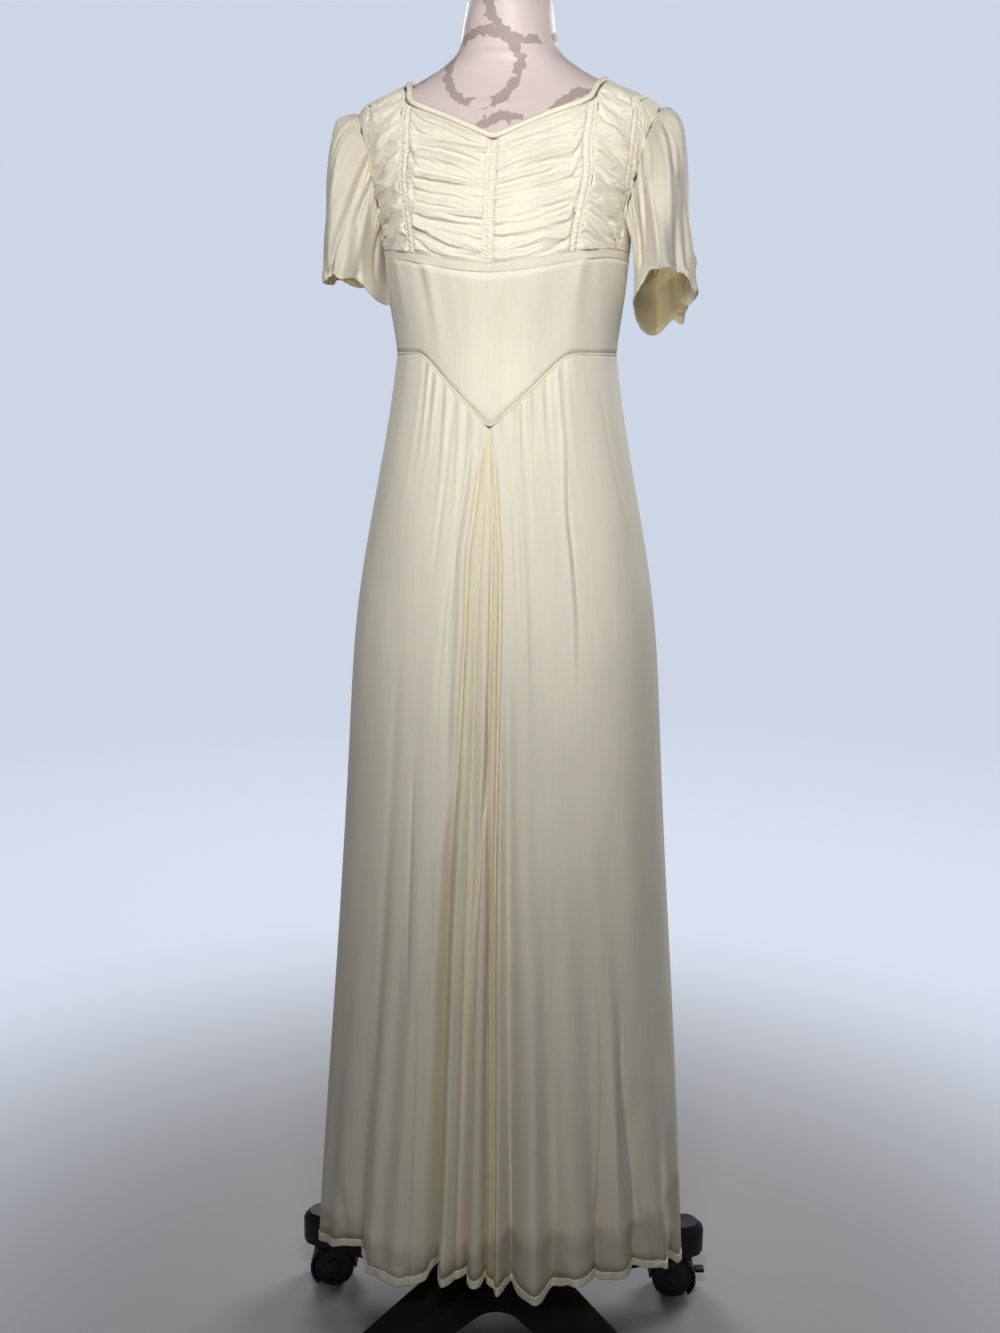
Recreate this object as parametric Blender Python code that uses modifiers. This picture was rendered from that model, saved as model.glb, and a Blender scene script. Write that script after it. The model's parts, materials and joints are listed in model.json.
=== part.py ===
"""A long ivory milkmaid gown of silk crepe chiffon on a limbless dress form.

The gown has a sweetheart neckline, a shirred bust, short puffed sleeves, a midriff that ends in a
point at the front waist and a flared skirt to the floor. It rests on a smooth padded form, which
stands on a post and a five-legged base with twin-wheel casters.

Metres, +Z up. The origin is on the floor under the form's axis. The front of the gown faces -Y.
"""
import math

import bmesh
import bpy
import numpy as np
from mathutils import Matrix, Vector

# Cloth
CLOTH = 0.0012              # wall of the crepe
HEM_WALL = 0.0019           # wall of a turned hem
SEAM_GAP = 0.0003           # between two pieces that are sewn together
SIDE_GAP_TURN = 0.00015     # half of the gap at a side or shoulder seam, in turns
BAND_HALF = 0.0055          # half width of a shirred channel
BINDING_RADIUS = 0.0024
BINDING_GAP = 0.0011
PIPING_RADIUS = 0.0009

# Heights of the gown
NECK_POINT = 1.4910         # lowest point of the sweetheart neckline
SHOULDER_NECK = 1.5670      # shoulder seam at the neckline
SHOULDER_TIP = 1.5370       # shoulder seam at the armhole
ARMPIT = 1.3940
WAIST = 1.2645
WAIST_POINT = 1.1830        # tip of the pointed waist
WAIST_POINT_REACH = 0.0820  # half width of the pointed part
WAIST_CORNER_SHARE = 22 / 28  # share of the skirt front's columns that lie under the point
SKIRT_COLUMNS = 56          # across the front
BAND_HEIGHT = 0.0095        # under-bust band
HEM_HEIGHT = 0.0110         # skirt hem
HEM_MIDDLE = 0.140          # height where the folds are full
HEM_AT_SIDE = 0.1180
HEM_RISE_FRONT = 0.0400
HEM_RISE_BACK = 0.0080
LINING_INSET = 0.030        # the lining hangs this far inside the skirt near the hem
LINING_AT_SEAM = CLOTH + 2 * SEAM_GAP  # and here where it is tacked to the side seams
LINING_FULLNESS = 0.35      # its folds, as a share of the skirt's
SLEEVE_HEM_SHARE = 0.045

# Dress form
FORM_BOTTOM = 0.800
NECK_TOP = 1.672
NECK_CAP = 0.010
FORM_CLEAR = 0.0018         # under the bodice
FORM_CLEAR_SHOULDER = 0.0045
FORM_CLEAR_BACK = 0.0042    # under the middle of the back panels, whose faces are large
FORM_CLEAR_HIP = 0.0110     # under the skirt, which hangs free there

# Base
STAR_TURN = math.radians(6.6)
LEGS = 5
CROTCH_RADIUS = 0.032       # hollow corner between two legs
LEG_BOTTOM = 0.062
LEG_TOP_HUB = 0.112
LEG_TOP_END = 0.103
LEG_END = 0.289
LEG_HALF = 0.0310
LEG_HALF_END = 0.0250
COLLAR_RADIUS = 0.027
COLLAR_TOP = 0.150
POST_RADIUS = 0.0175
STEM_PLACE = 0.264
STEM_RADIUS = 0.0050
STEM_BORE = 0.0054
STEM_LENGTH = 0.026
WHEEL_RADIUS = 0.028
WHEEL_SIDES = 16
WHEEL_AXIS = WHEEL_RADIUS * math.cos(math.pi / WHEEL_SIDES)
WHEEL_INNER = 0.0055
WHEEL_OUTER = 0.0215
AXLE_RADIUS = 0.0030
AXLE_BORE = 0.0036
TRAIL = 0.018
HOOD_RADIUS = 0.0325
HOOD_INNER = 0.0292
HOOD_HALF = 0.0235
WEB_HALF = 0.0050
HOOD_LOW = 0.010
HOOD_TILT = math.radians(-25)
BOSS_RADIUS = 0.011
PEDAL = (0.013, 0.014, 0.005)
PEDAL_HEIGHT = 0.030
PEDAL_GAP = 0.0005

# Sections of the dressed figure: half width, depth in front of and behind the axis,
# and roundness, the power of the superellipse.
BODY_COLUMNS = ("height", "half_width", "front", "back", "roundness")
BODY = [
    (0.060, 0.2370, 0.178, 0.186, 2.10),
    (0.108, 0.2360, 0.176, 0.184, 2.10),
    (0.280, 0.2285, 0.165, 0.174, 2.10),
    (0.520, 0.2115, 0.152, 0.162, 2.10),
    (0.785, 0.1915, 0.140, 0.150, 2.15),
    (0.887, 0.1880, 0.136, 0.146, 2.20),
    (0.985, 0.1800, 0.132, 0.142, 2.20),
    (1.046, 0.1680, 0.130, 0.135, 2.20),
    (1.118, 0.1505, 0.125, 0.118, 2.20),
    (1.166, 0.1410, 0.121, 0.104, 2.20),
    (1.227, 0.1325, 0.114, 0.092, 2.20),
    (1.263, 0.1275, 0.111, 0.088, 2.20),
    (1.326, 0.1355, 0.126, 0.094, 2.20),
    (1.372, 0.1400, 0.137, 0.102, 2.25),
    (1.410, 0.1430, 0.134, 0.108, 2.30),
    (1.450, 0.1520, 0.122, 0.111, 2.40),
    (1.500, 0.1650, 0.102, 0.104, 2.40),
    (1.525, 0.1710, 0.086, 0.092, 2.30),
    (1.537, 0.1710, 0.078, 0.085, 2.20),
    (1.552, 0.1410, 0.068, 0.076, 2.20),
    (1.567, 0.1105, 0.060, 0.066, 2.10),
    (1.585, 0.0760, 0.054, 0.056, 2.00),
    (1.600, 0.0560, 0.051, 0.050, 2.00),
    (1.640, 0.0510, 0.052, 0.046, 2.00),
    (1.675, 0.0500, 0.052, 0.046, 2.00),
]

# Lines on one side of the bodice, by distance across from the centre and height.
LINE_COLUMNS = ("across", "height")
NECKLINE = [(0.0000, 1.4910), (0.0160, 1.4985), (0.0340, 1.5065), (0.0580, 1.5175), (0.0850, 1.5285),
            (0.0985, 1.5345), (0.1045, 1.5470), (0.1085, 1.5580), (0.1106, 1.5670)]
BACK_NECKLINE = [(0.1106, 1.5670), (0.1000, 1.5620), (0.0750, 1.5545), (0.0400, 1.5500), (0.0000, 1.5490)]
PRINCESS = [(0.0880, 1.3600), (0.0900, 1.3850), (0.0950, 1.4150), (0.1010, 1.4500), (0.1000, 1.4900),
            (0.0935, 1.5450)]
OUTER_SHIRRING = [(0.1290, 1.3600), (0.1325, 1.3900), (0.1375, 1.4300), (0.1440, 1.4700),
                  (0.1480, 1.5080), (0.1465, 1.5350), (0.1470, 1.5500)]

# The armhole, by turn round the figure (0 centre front, 0.25 side) and height.
PLACE_COLUMNS = ("turn", "height")
ARMHOLE = [(0.2500, ARMPIT), (0.2217, 1.4000), (0.2000, 1.4200), (0.1906, 1.4600), (0.1925, 1.5000),
           (0.2120, 1.5260), (0.2500, SHOULDER_TIP)]

# Ruched folds of a bust panel, from the under-bust band up: height of the ridge and share of it
# that is left at the panel's outer edge.
RUCHE_COLUMNS = ("ridge", "share_outside")
RUCHES = [(0.0026, 0.5), (0.0020, 0.9), (0.0029, 0.7), (0.0018, 0.5), (0.0026, 1.0), (0.0021, 0.6),
          (0.0028, 0.8), (0.0017, 0.6), (0.0025, 0.9), (0.0019, 0.5), (0.0020, 0.8), (0.0014, 0.6)]

RUCHE_SHARE_AT_SEAM = 0.45

# Folds of the skirt: place at the hem in turns, depth at the hem (a trough is negative),
# half width in turns, and the height where the fold starts.
FOLD_COLUMNS = ("place", "depth", "half_width", "starts")
FRONT_FOLDS = [
    (-0.226, -0.011, 0.016, 0.55),
    (-0.195, 0.008, 0.020, 0.80),
    (-0.152, 0.006, 0.018, 0.60),
    (-0.124, -0.020, 0.014, 0.46),
    (-0.098, 0.010, 0.018, 0.90),
    (-0.070, 0.014, 0.020, 1.00),
    (-0.0410, -0.030, 0.0105, 1.10),
    (-0.0280, 0.014, 0.0095, 1.12),
    (-0.0138, -0.018, 0.0075, 1.05),
    (-0.0030, 0.014, 0.0085, 1.15),
    (0.0060, -0.010, 0.0060, 1.10),
    (0.0145, 0.008, 0.0070, 1.10),
    (0.0256, -0.028, 0.0100, 1.14),
    (0.0440, 0.018, 0.0150, 1.00),
    (0.0630, -0.018, 0.0110, 0.60),
    (0.0820, 0.010, 0.0140, 0.80),
    (0.1070, -0.020, 0.0140, 0.62),
    (0.1240, 0.010, 0.0160, 0.70),
    (0.1440, -0.015, 0.0140, 0.52),
    (0.1750, 0.009, 0.0200, 0.85),
    (0.2080, -0.010, 0.0160, 0.45),
    (0.2320, 0.006, 0.0120, 0.50),
]
BACK_FOLDS = [
    (0.272, -0.010, 0.016, 0.60),
    (0.300, 0.009, 0.020, 0.75),
    (0.334, -0.018, 0.018, 0.85),
    (0.366, 0.012, 0.020, 1.00),
    (0.396, -0.020, 0.016, 0.95),
    (0.424, 0.013, 0.018, 1.05),
    (0.452, -0.022, 0.016, 1.05),
    (0.480, 0.014, 0.018, 1.10),
    (0.510, -0.024, 0.016, 1.10),
    (0.538, 0.015, 0.018, 1.05),
    (0.566, -0.019, 0.016, 1.00),
    (0.596, 0.012, 0.020, 0.95),
    (0.630, -0.017, 0.018, 0.80),
    (0.664, 0.010, 0.020, 0.90),
    (0.700, -0.012, 0.018, 0.65),
    (0.728, 0.007, 0.014, 0.55),
]

# Sleeve, drawn for the +X side, from the armhole seam (0) to the hem (1): the line over the arm,
# the front line, the line under the arm and the back line.
SLEEVE_COLUMNS = ("along", "outer_x", "outer_z", "front_x", "front_y", "front_z",
                  "inner_x", "inner_z", "back_x", "back_y", "back_z")
SLEEVE = [
    (0.00, 0.1740, 1.5365, 0.1530, -0.0500, 1.4700, 0.1452, 1.3905, 0.1530, 0.0520, 1.4700),
    (0.12, 0.1830, 1.5370, 0.1640, -0.0640, 1.4680, 0.1470, 1.3860, 0.1640, 0.0650, 1.4680),
    (0.28, 0.1940, 1.5180, 0.1750, -0.0760, 1.4540, 0.1478, 1.3790, 0.1750, 0.0770, 1.4520),
    (0.46, 0.2010, 1.4820, 0.1800, -0.0820, 1.4280, 0.1482, 1.3690, 0.1800, 0.0830, 1.4240),
    (0.64, 0.2055, 1.4390, 0.1815, -0.0840, 1.3990, 0.1484, 1.3570, 0.1815, 0.0850, 1.3900),
    (0.82, 0.2095, 1.3950, 0.1820, -0.0820, 1.3710, 0.1486, 1.3430, 0.1820, 0.0840, 1.3560),
    (1.00, 0.2130, 1.3480, 0.1820, -0.0780, 1.3430, 0.1490, 1.3280, 0.1820, 0.0800, 1.3220),
]
# What differs between the two sleeves, by side: extra drop of the hem at the back and at the
# outside, and where the hem's waves start.
SLEEVE_SIDES = {-1: {"drop_back": 0.004, "drop_outer": 0.000, "start": 0.4},
                1: {"drop_back": 0.020, "drop_outer": 0.016, "start": 1.9}}
SLEEVE_COLUMN_COUNT = 24
CAP_GATHER = 0.0024         # half the height of a gather at the cap
SLEEVE_WAVE = 0.0062
SLEEVE_HEM_WAVE = 0.0040

# Directions in which the casters trail, against the leg's own, by leg.
CASTER_TRAILS = (math.radians(28), math.radians(-52), math.radians(164), math.radians(150), math.radians(-160))
BRAKED_LEG = 2

PARTS_NAME = "milkmaid_dress_on_dress_form"


def clear_scene():
    """Remove what the scene holds and make the collections for the parts and the cutters."""
    for thing in list(bpy.data.objects):
        bpy.data.objects.remove(thing, do_unlink=True)
    collections = []
    for name in (PARTS_NAME, "cutters"):
        collection = bpy.data.collections.new(name)
        bpy.context.scene.collection.children.link(collection)
        collections.append(collection)
    return collections


PARTS, CUTTERS = clear_scene()


def material(name, colour, roughness, metallic=0.0):
    """A Principled material with one colour."""
    made = bpy.data.materials.new(name)
    made.use_nodes = True
    shader = made.node_tree.nodes["Principled BSDF"]
    shader.inputs["Base Color"].default_value = (*colour, 1.0)
    shader.inputs["Roughness"].default_value = roughness
    shader.inputs["Metallic"].default_value = metallic
    made.diffuse_color = (*colour, 1.0)
    return made


CREPE = material("ivory_crepe", (0.80, 0.74, 0.58), 0.70)
LINING = material("ivory_lining", (0.82, 0.76, 0.62), 0.55)
SATIN = material("pink_satin", (0.72, 0.60, 0.56), 0.40)
BLACK_PLASTIC = material("black_plastic", (0.020, 0.020, 0.022), 0.45)
TYRE = material("caster_tyre", (0.012, 0.012, 0.013), 0.60)
BLACK_STEEL = material("black_steel", (0.030, 0.030, 0.032), 0.35, 0.6)


def add_mesh(name, bm, finish, collection=None):
    """Put a bmesh in a new object, its faces cut into triangles so that curved quads are never ambiguous."""
    bmesh.ops.triangulate(bm, faces=bm.faces, quad_method="LONG_EDGE")
    mesh = bpy.data.meshes.new(name)
    bm.to_mesh(mesh)
    bm.free()
    mesh.shade_smooth()
    mesh.set_sharp_from_angle(angle=math.radians(40))
    made = bpy.data.objects.new(name, mesh)
    (collection or PARTS).objects.link(made)
    if finish:
        mesh.materials.append(finish)
    return made


def smooth_curve(places, values):
    """A monotone cubic through the values, so that it never swings past a section."""
    step = np.diff(places)
    slope = np.diff(values) / step
    tangent = np.concatenate(([slope[0]], np.zeros(len(values) - 2), [slope[-1]]))
    for i in range(1, len(values) - 1):
        if slope[i - 1] * slope[i] > 0:
            before = 2 * step[i] + step[i - 1]
            after = step[i] + 2 * step[i - 1]
            tangent[i] = (before + after) / (before / slope[i - 1] + after / slope[i])

    def value(place):
        place = min(max(place, places[0]), places[-1])
        i = min(max(int(np.searchsorted(places, place)) - 1, 0), len(places) - 2)
        t = (place - places[i]) / step[i]
        return ((2 * t ** 3 - 3 * t ** 2 + 1) * values[i] + (t ** 3 - 2 * t ** 2 + t) * step[i] * tangent[i]
                + (3 * t ** 2 - 2 * t ** 3) * values[i + 1] + (t ** 3 - t ** 2) * step[i] * tangent[i + 1])

    return value


def table_curves(columns, rows):
    """One smooth curve for each column of a table, over its first column."""
    table = np.array(rows)
    return {name: smooth_curve(table[:, 0], table[:, i]) for i, name in enumerate(columns) if i}


def named_rows(columns, rows):
    """The rows of a table, each as a dictionary by column."""
    return [dict(zip(columns, row)) for row in rows]


BODY_CURVES = table_curves(BODY_COLUMNS, BODY)


def section(height):
    """Half width, front and back depth and roundness of the figure at a height."""
    return [BODY_CURVES[name](height) for name in BODY_COLUMNS[1:]]


def on_body(turn, height):
    """Point of the figure at a turn round it, 0 at centre front and 0.25 at the +X side."""
    half_width, front, back, roundness = section(height)
    sine, cosine = math.sin(math.tau * turn), math.cos(math.tau * turn)
    reach = (abs(sine) ** roundness + abs(cosine) ** roundness) ** (-1 / roundness)
    depth = front if cosine > 0 else back
    return Vector((half_width * sine * reach, -depth * cosine * reach, height))


def turn_at(across, height):
    """Turn of the point of the front that lies a distance across from the centre."""
    half_width, _, _, roundness = section(height)
    share = min(abs(across) / half_width, 1.0)
    return math.atan2(share, (1 - share ** roundness) ** (1 / roundness)) / math.tau


def body_frame(turn, height):
    """The two directions of the surface at a place, by turn and by height, and its outward normal."""
    small = 0.0004
    by_turn = (on_body(turn + small, height) - on_body(turn - small, height)) / (2 * small)
    by_height = (on_body(turn, height + small) - on_body(turn, height - small)) / (2 * small)
    return by_turn, by_height, by_turn.cross(by_height).normalized()


def front_path(table):
    """A smooth line through points of the front, given by distance across and height."""
    return path([(turn_at(row["across"], row["height"]), row["height"]) for row in named_rows(LINE_COLUMNS, table)])


def back_path(table):
    """The same for points of the back."""
    return path([(0.5 - turn_at(row["across"], row["height"]), row["height"])
                 for row in named_rows(LINE_COLUMNS, table)])


def path(points):
    """A smooth line through places on the figure, as a function of 0 to 1."""
    table = np.array(points)
    lengths = [0.0]
    for a, b in zip(points, points[1:]):
        lengths.append(lengths[-1] + (on_body(*b) - on_body(*a)).length)
    share = np.array(lengths) / lengths[-1]
    turn = smooth_curve(share, table[:, 0])
    height = smooth_curve(share, table[:, 1])
    return lambda s: (turn(s), height(s))


def beside(line, distance):
    """The line moved sideways on the figure, to its right where it runs up."""

    def moved(s):
        low, high = max(s - 0.01, 0.0), min(s + 0.01, 1.0)
        turn, height = line(s)
        along = on_body(*line(high)) - on_body(*line(low))
        by_turn, by_height, normal = body_frame(turn, height)
        side = along.cross(normal).normalized() * distance
        matrix = np.array([[by_turn.dot(by_turn), by_turn.dot(by_height)],
                           [by_turn.dot(by_height), by_height.dot(by_height)]])
        change = np.linalg.solve(matrix, np.array([side.dot(by_turn), side.dot(by_height)]))
        return turn + change[0], height + change[1]

    return moved


def part_of(line, first, last):
    """A stretch of a line, as a function of 0 to 1."""
    return lambda s: line(first + (last - first) * s)


def where(line, crossed, first=0.0, last=1.0):
    """Where along a line a test turns from true to false."""
    for _ in range(30):
        middle = (first + last) / 2
        if crossed(*line(middle)):
            first = middle
        else:
            last = middle
    return first


def joined(line, other, share):
    """Two lines end to end, the first one up to the given share."""
    return lambda s: line(s / share) if s < share else other((s - share) / (1 - share))


def bell(distance):
    """A soft fold: 1 at its middle and 0 at a distance of 1."""
    return 0.5 + 0.5 * math.cos(math.pi * min(abs(distance), 1.0))


def ramp(value, low, high):
    """0 below low and 1 above high, with a soft start and end."""
    t = min(max((value - low) / (high - low), 0.0), 1.0)
    return t * t * (3 - 2 * t)


def patch(bottom, top, left, right, columns, levels):
    """Places on the figure inside four edges, as rows from the bottom up at the given shares."""
    corners = {(0, 0): left(0), (1, 0): right(0), (0, 1): left(1), (1, 1): right(1)}

    def edge(line, row):
        start, end = line(0.0), line(1.0)

        def held(u):
            place = line(u)
            return [place[k] + (1 - u) * (corners[0, row][k] - start[k]) + u * (corners[1, row][k] - end[k])
                    for k in range(2)]
        return held

    low, high = edge(bottom, 0), edge(top, 1)
    places = []
    for v in levels:
        row = []
        for u in np.linspace(0, 1, columns + 1):
            a, b, c, d = low(u), high(u), left(v), right(v)
            row.append([(1 - v) * a[k] + v * b[k] + (1 - u) * c[k] + u * d[k]
                        - (1 - u) * (1 - v) * corners[0, 0][k] - u * (1 - v) * corners[1, 0][k]
                        - (1 - u) * v * corners[0, 1][k] - u * v * corners[1, 1][k] for k in range(2)])
        places.append(row)
    return places


def lay_on_body(places, side=1):
    """Points of the figure at rows of places; side -1 mirrors them."""
    return np.array([[(side * p[0], p[1], p[2]) for p in (on_body(*place) for place in row)] for row in places])


def normals_of(points, around):
    """Normals of a grid of points, from its neighbours."""
    if around:
        by_column = np.roll(points, -1, axis=1) - np.roll(points, 1, axis=1)
    else:
        by_column = np.gradient(points, axis=1)
    normal = np.cross(by_column, np.gradient(points, axis=0))
    return normal / np.linalg.norm(normal, axis=2, keepdims=True)


def wall(name, points, finish, thickness=CLOTH, relief=None, around=False, flip=False):
    """A wall of cloth: a plain inner sheet, and an outer sheet moved out by the cloth and its relief."""
    rows, columns, _ = points.shape
    normal = normals_of(points, around) * (-1 if flip else 1)
    height = np.full((rows, columns, 1), thickness)
    if relief is not None:
        height = height + np.array(relief)[:, :, None]
    bm = bmesh.new()
    inner = [[bm.verts.new(p) for p in row] for row in points]
    outer = [[bm.verts.new(p) for p in row] for row in points + normal * height]
    last = columns if around else columns - 1
    for i in range(rows - 1):
        for j in range(last):
            k = (j + 1) % columns
            bm.faces.new((inner[i][j], inner[i + 1][j], inner[i + 1][k], inner[i][k]))
            bm.faces.new((outer[i][j], outer[i][k], outer[i + 1][k], outer[i + 1][j]))
    for j in range(last):
        k = (j + 1) % columns
        bm.faces.new((inner[0][j], inner[0][k], outer[0][k], outer[0][j]))
        bm.faces.new((inner[-1][j], outer[-1][j], outer[-1][k], inner[-1][k]))
    if not around:
        for i in range(rows - 1):
            bm.faces.new((inner[i][0], outer[i][0], outer[i + 1][0], inner[i + 1][0]))
            bm.faces.new((inner[i][-1], inner[i + 1][-1], outer[i + 1][-1], outer[i][-1]))
    bmesh.ops.recalc_face_normals(bm, faces=bm.faces)
    return add_mesh(name, bm, finish)


def roll(name, points, radius, finish, closed=False, fineness=1):
    """A thin tube of cloth along points: a rouleau or a piping."""
    curve = bpy.data.curves.new(name, "CURVE")
    curve.dimensions = "3D"
    curve.bevel_depth = radius
    curve.bevel_resolution = fineness
    curve.use_fill_caps = True
    spline = curve.splines.new("POLY")
    spline.points.add(len(points) - 1)
    for spot, point in zip(spline.points, points):
        spot.co = (*point, 1.0)
    spline.use_cyclic_u = closed
    curve.materials.append(finish)
    made = bpy.data.objects.new(name, curve)
    PARTS.objects.link(made)
    return made


# Bodice

neckline = front_path(NECKLINE)
back_neckline = back_path(BACK_NECKLINE)
panel_neckline = beside(neckline, BINDING_RADIUS + BINDING_GAP)
panel_back_neckline = beside(back_neckline, BINDING_RADIUS + BINDING_GAP)
shoulder_seam = path([(0.25 - SIDE_GAP_TURN, SHOULDER_NECK - 0.0016), (0.25 - SIDE_GAP_TURN, 1.5520),
                      (0.25 - SIDE_GAP_TURN, SHOULDER_TIP)])
armhole = path([(row["turn"], row["height"]) for row in named_rows(PLACE_COLUMNS, ARMHOLE)])


def band_top(turn):
    """Height of the under-bust band's upper edge, which dips at centre front."""
    return 1.3585 + 0.0195 * ramp(abs(turn), 0.0, 0.17)


def band_bottom(turn):
    """Height of the under-bust band's lower edge."""
    return band_top(turn) - BAND_HEIGHT


def waist_seam(turn):
    """Height of the waist seam: level at the sides and back, with a point at centre front."""
    if abs(turn) >= 0.25:
        return WAIST
    across = abs(on_body(turn, WAIST).x)
    slanted = WAIST_POINT + across * (WAIST - WAIST_POINT) / WAIST_POINT_REACH
    soft = 0.0004
    return min(slanted, WAIST) - soft * math.log(1 + math.exp(-abs(slanted - WAIST) / soft))


def waist_gap(turn):
    """Vertical distance from the middle of the piping to the cloth above and below it."""
    step = 0.002
    run = abs(on_body(turn + step, WAIST).x - on_body(turn - step, WAIST).x)
    rise = waist_seam(turn + step) - waist_seam(turn - step)
    return (PIPING_RADIUS + 2 * SEAM_GAP) * math.hypot(1, rise / max(run, 2 * step * WAIST_POINT_REACH))


def waist_turn(share, corner_share=WAIST_CORNER_SHARE):
    """Turn along the waist seam for a share of its front columns, -1 to 1; a column falls on each corner."""
    corner = turn_at(WAIST_POINT_REACH, WAIST)
    along = abs(share) / corner_share
    if along <= 1:
        turn = corner * (0.75 * along + 0.25 * along ** 2)
    else:
        rest = (abs(share) - corner_share) / (1 - corner_share)
        turn = corner + (0.25 - SIDE_GAP_TURN - corner) * rest
    return math.copysign(turn, share)


def waist_turns():
    """Turns of the columns of the midriff and the piping, 6 on each side of each corner."""
    return [waist_turn(share, 0.5) for share in np.linspace(-1, 1, 25)]


def over_band(line):
    """The part of a line that lies above the under-bust band."""
    start = where(line, lambda turn, height: height < band_top(turn) + SEAM_GAP)
    return part_of(line, start, 1.0)


def under_neckline(line):
    """The part of a line that lies below the neckline's binding."""
    edge = [panel_neckline(s) for s in np.linspace(0, 1, 60)]
    turns = np.array([place[0] for place in edge])
    heights = np.array([place[1] for place in edge])
    end = where(line, lambda turn, height: height < float(np.interp(turn, turns, heights)))
    return part_of(line, 0.0, end)


def bottom_edge(left, right):
    """Edge along the under-bust band, between the starts of two lines."""
    first, last = left(0)[0], right(0)[0]
    return lambda s: (first + (last - first) * s, band_top(first + (last - first) * s) + SEAM_GAP)


def neck_edge(first, last):
    """Edge along the neckline between two turns."""
    start = where(panel_neckline, lambda turn, height: turn < first)
    end = where(panel_neckline, lambda turn, height: turn < last)
    return part_of(panel_neckline, start, end)


def seam_from(height_start, height_end):
    """The shoulder seam between two heights."""
    seam = 0.25 - SIDE_GAP_TURN
    return lambda s: (seam, height_start + (height_end - height_start) * s)


def ruched(columns, shift, ridge_scale):
    """Relief of a ruched panel: a ridge and a trough for each fold, uneven along it."""
    relief = []
    for number, ruche in enumerate(named_rows(RUCHE_COLUMNS, RUCHES)):
        crest = []
        for column in range(columns + 1):
            u = column / columns
            uneven = 0.80 + 0.20 * math.sin(2.3 * number + 5.1 * u + shift)
            at_seam = RUCHE_SHARE_AT_SEAM if u in (0, 1) else 1.0
            crest.append(ruche["ridge"] * ridge_scale * uneven * (1 - (1 - ruche["share_outside"]) * u) * at_seam)
        relief += [[0.0] * (columns + 1), crest]
    relief.append([0.0] * (columns + 1))
    return relief


def puckered(columns, rows):
    """Relief of a shirred channel: small puckers, lowest along its middle."""
    return [[(0.0015 if i % 2 else 0.0003) * (0.4 if 2 * j == columns else 1.0) for j in range(columns + 1)]
            for i in range(rows + 1)]


def side_name(side):
    """The side as the viewer sees it."""
    return "right" if side > 0 else "left"


def make_bust():
    """Shirred bust: channels at centre front, on the princess lines and near the armholes."""
    levels = np.linspace(0, 1, 2 * len(RUCHES) + 1)
    centre = path([(0.0, 1.3500), (0.0, 1.4400), (0.0, NECK_POINT)])
    centre_edge = under_neckline(over_band(beside(centre, BAND_HALF + SEAM_GAP)))
    channel_half = under_neckline(over_band(beside(centre, BAND_HALF)))
    princess = front_path(PRINCESS)
    princess_in = under_neckline(over_band(beside(princess, -BAND_HALF - SEAM_GAP)))
    princess_out = under_neckline(over_band(beside(princess, BAND_HALF + SEAM_GAP)))
    princess_left = under_neckline(over_band(beside(princess, -BAND_HALF)))
    princess_right = under_neckline(over_band(beside(princess, BAND_HALF)))
    outer = front_path(OUTER_SHIRRING)

    def to_shoulder(line):
        end = where(line, lambda turn, height: turn < 0.25 - SIDE_GAP_TURN, 0.3, 1.0)
        return over_band(part_of(line, 0.0, end))

    outer_in = to_shoulder(beside(outer, -BAND_HALF - SEAM_GAP))
    outer_out = to_shoulder(beside(outer, BAND_HALF + SEAM_GAP))
    outer_left = to_shoulder(beside(outer, -BAND_HALF))
    outer_right = to_shoulder(beside(outer, BAND_HALF))

    def mirror_centre(s):
        turn, height = channel_half(s)
        return -turn, height

    neck_point_edge = path([mirror_centre(1), (0.0, NECK_POINT - 0.0042), channel_half(1)])
    places = patch(bottom_edge(mirror_centre, channel_half), neck_point_edge, mirror_centre, channel_half,
                   2, levels)
    wall("shirred_channel_centre", lay_on_body(places), CREPE, relief=puckered(2, len(levels) - 1))

    side_line = part_of(joined(lambda s: (0.25 - SIDE_GAP_TURN, band_top(0.25) + SEAM_GAP
                                          + (ARMPIT - band_top(0.25) - SEAM_GAP) * s), armhole, 0.10), 0.0, 1.0)

    def armhole_edge(s):
        turn, height = side_line(s)
        return min(turn, 0.25 - SIDE_GAP_TURN), height

    panels = (
        ("bust_centre", 5, centre_edge, princess_in,
         neck_edge(centre_edge(1)[0], princess_in(1)[0]), 1.0),
        ("bust_side", 4, joined(princess_out, neck_edge(princess_out(1)[0], 0.2490), 19 / 24), outer_in,
         seam_from(panel_neckline(1)[1], outer_in(1)[1]), 0.8),
        ("bust_armhole", 2, outer_out, armhole_edge, seam_from(outer_out(1)[1], SHOULDER_TIP), 0.5),
    )
    for side in (-1, 1):
        for name, columns, left, right, top, scale in panels:
            relief = None if name == "bust_armhole" else ruched(columns, side + columns, scale)
            places = patch(bottom_edge(left, right), top, left, right, columns, levels)
            wall(f"{name}_{side_name(side)}", lay_on_body(places, side), CREPE, relief=relief, flip=side < 0)
        channels = (("princess", princess_left, princess_right, neck_edge(princess_left(1)[0], princess_right(1)[0])),
                    ("outer", outer_left, outer_right, seam_from(outer_left(1)[1], outer_right(1)[1])))
        for name, left, right, top in channels:
            places = patch(bottom_edge(left, right), top, left, right, 2, levels)
            wall(f"shirred_channel_{name}_{side_name(side)}", lay_on_body(places, side), CREPE,
                 relief=puckered(2, len(levels) - 1), flip=side < 0)


def level_patch(bottom, top, first, last, columns, rows):
    """Places between two heights that are functions of the turn."""
    return turns_patch(bottom, top, np.linspace(first, last, columns + 1), rows)


def turns_patch(bottom, top, turns, rows):
    """Places at the given turns between two heights."""
    return [[(turn, (1 - v) * bottom(turn) + v * top(turn)) for turn in turns] for v in np.linspace(0, 1, rows + 1)]


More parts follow.
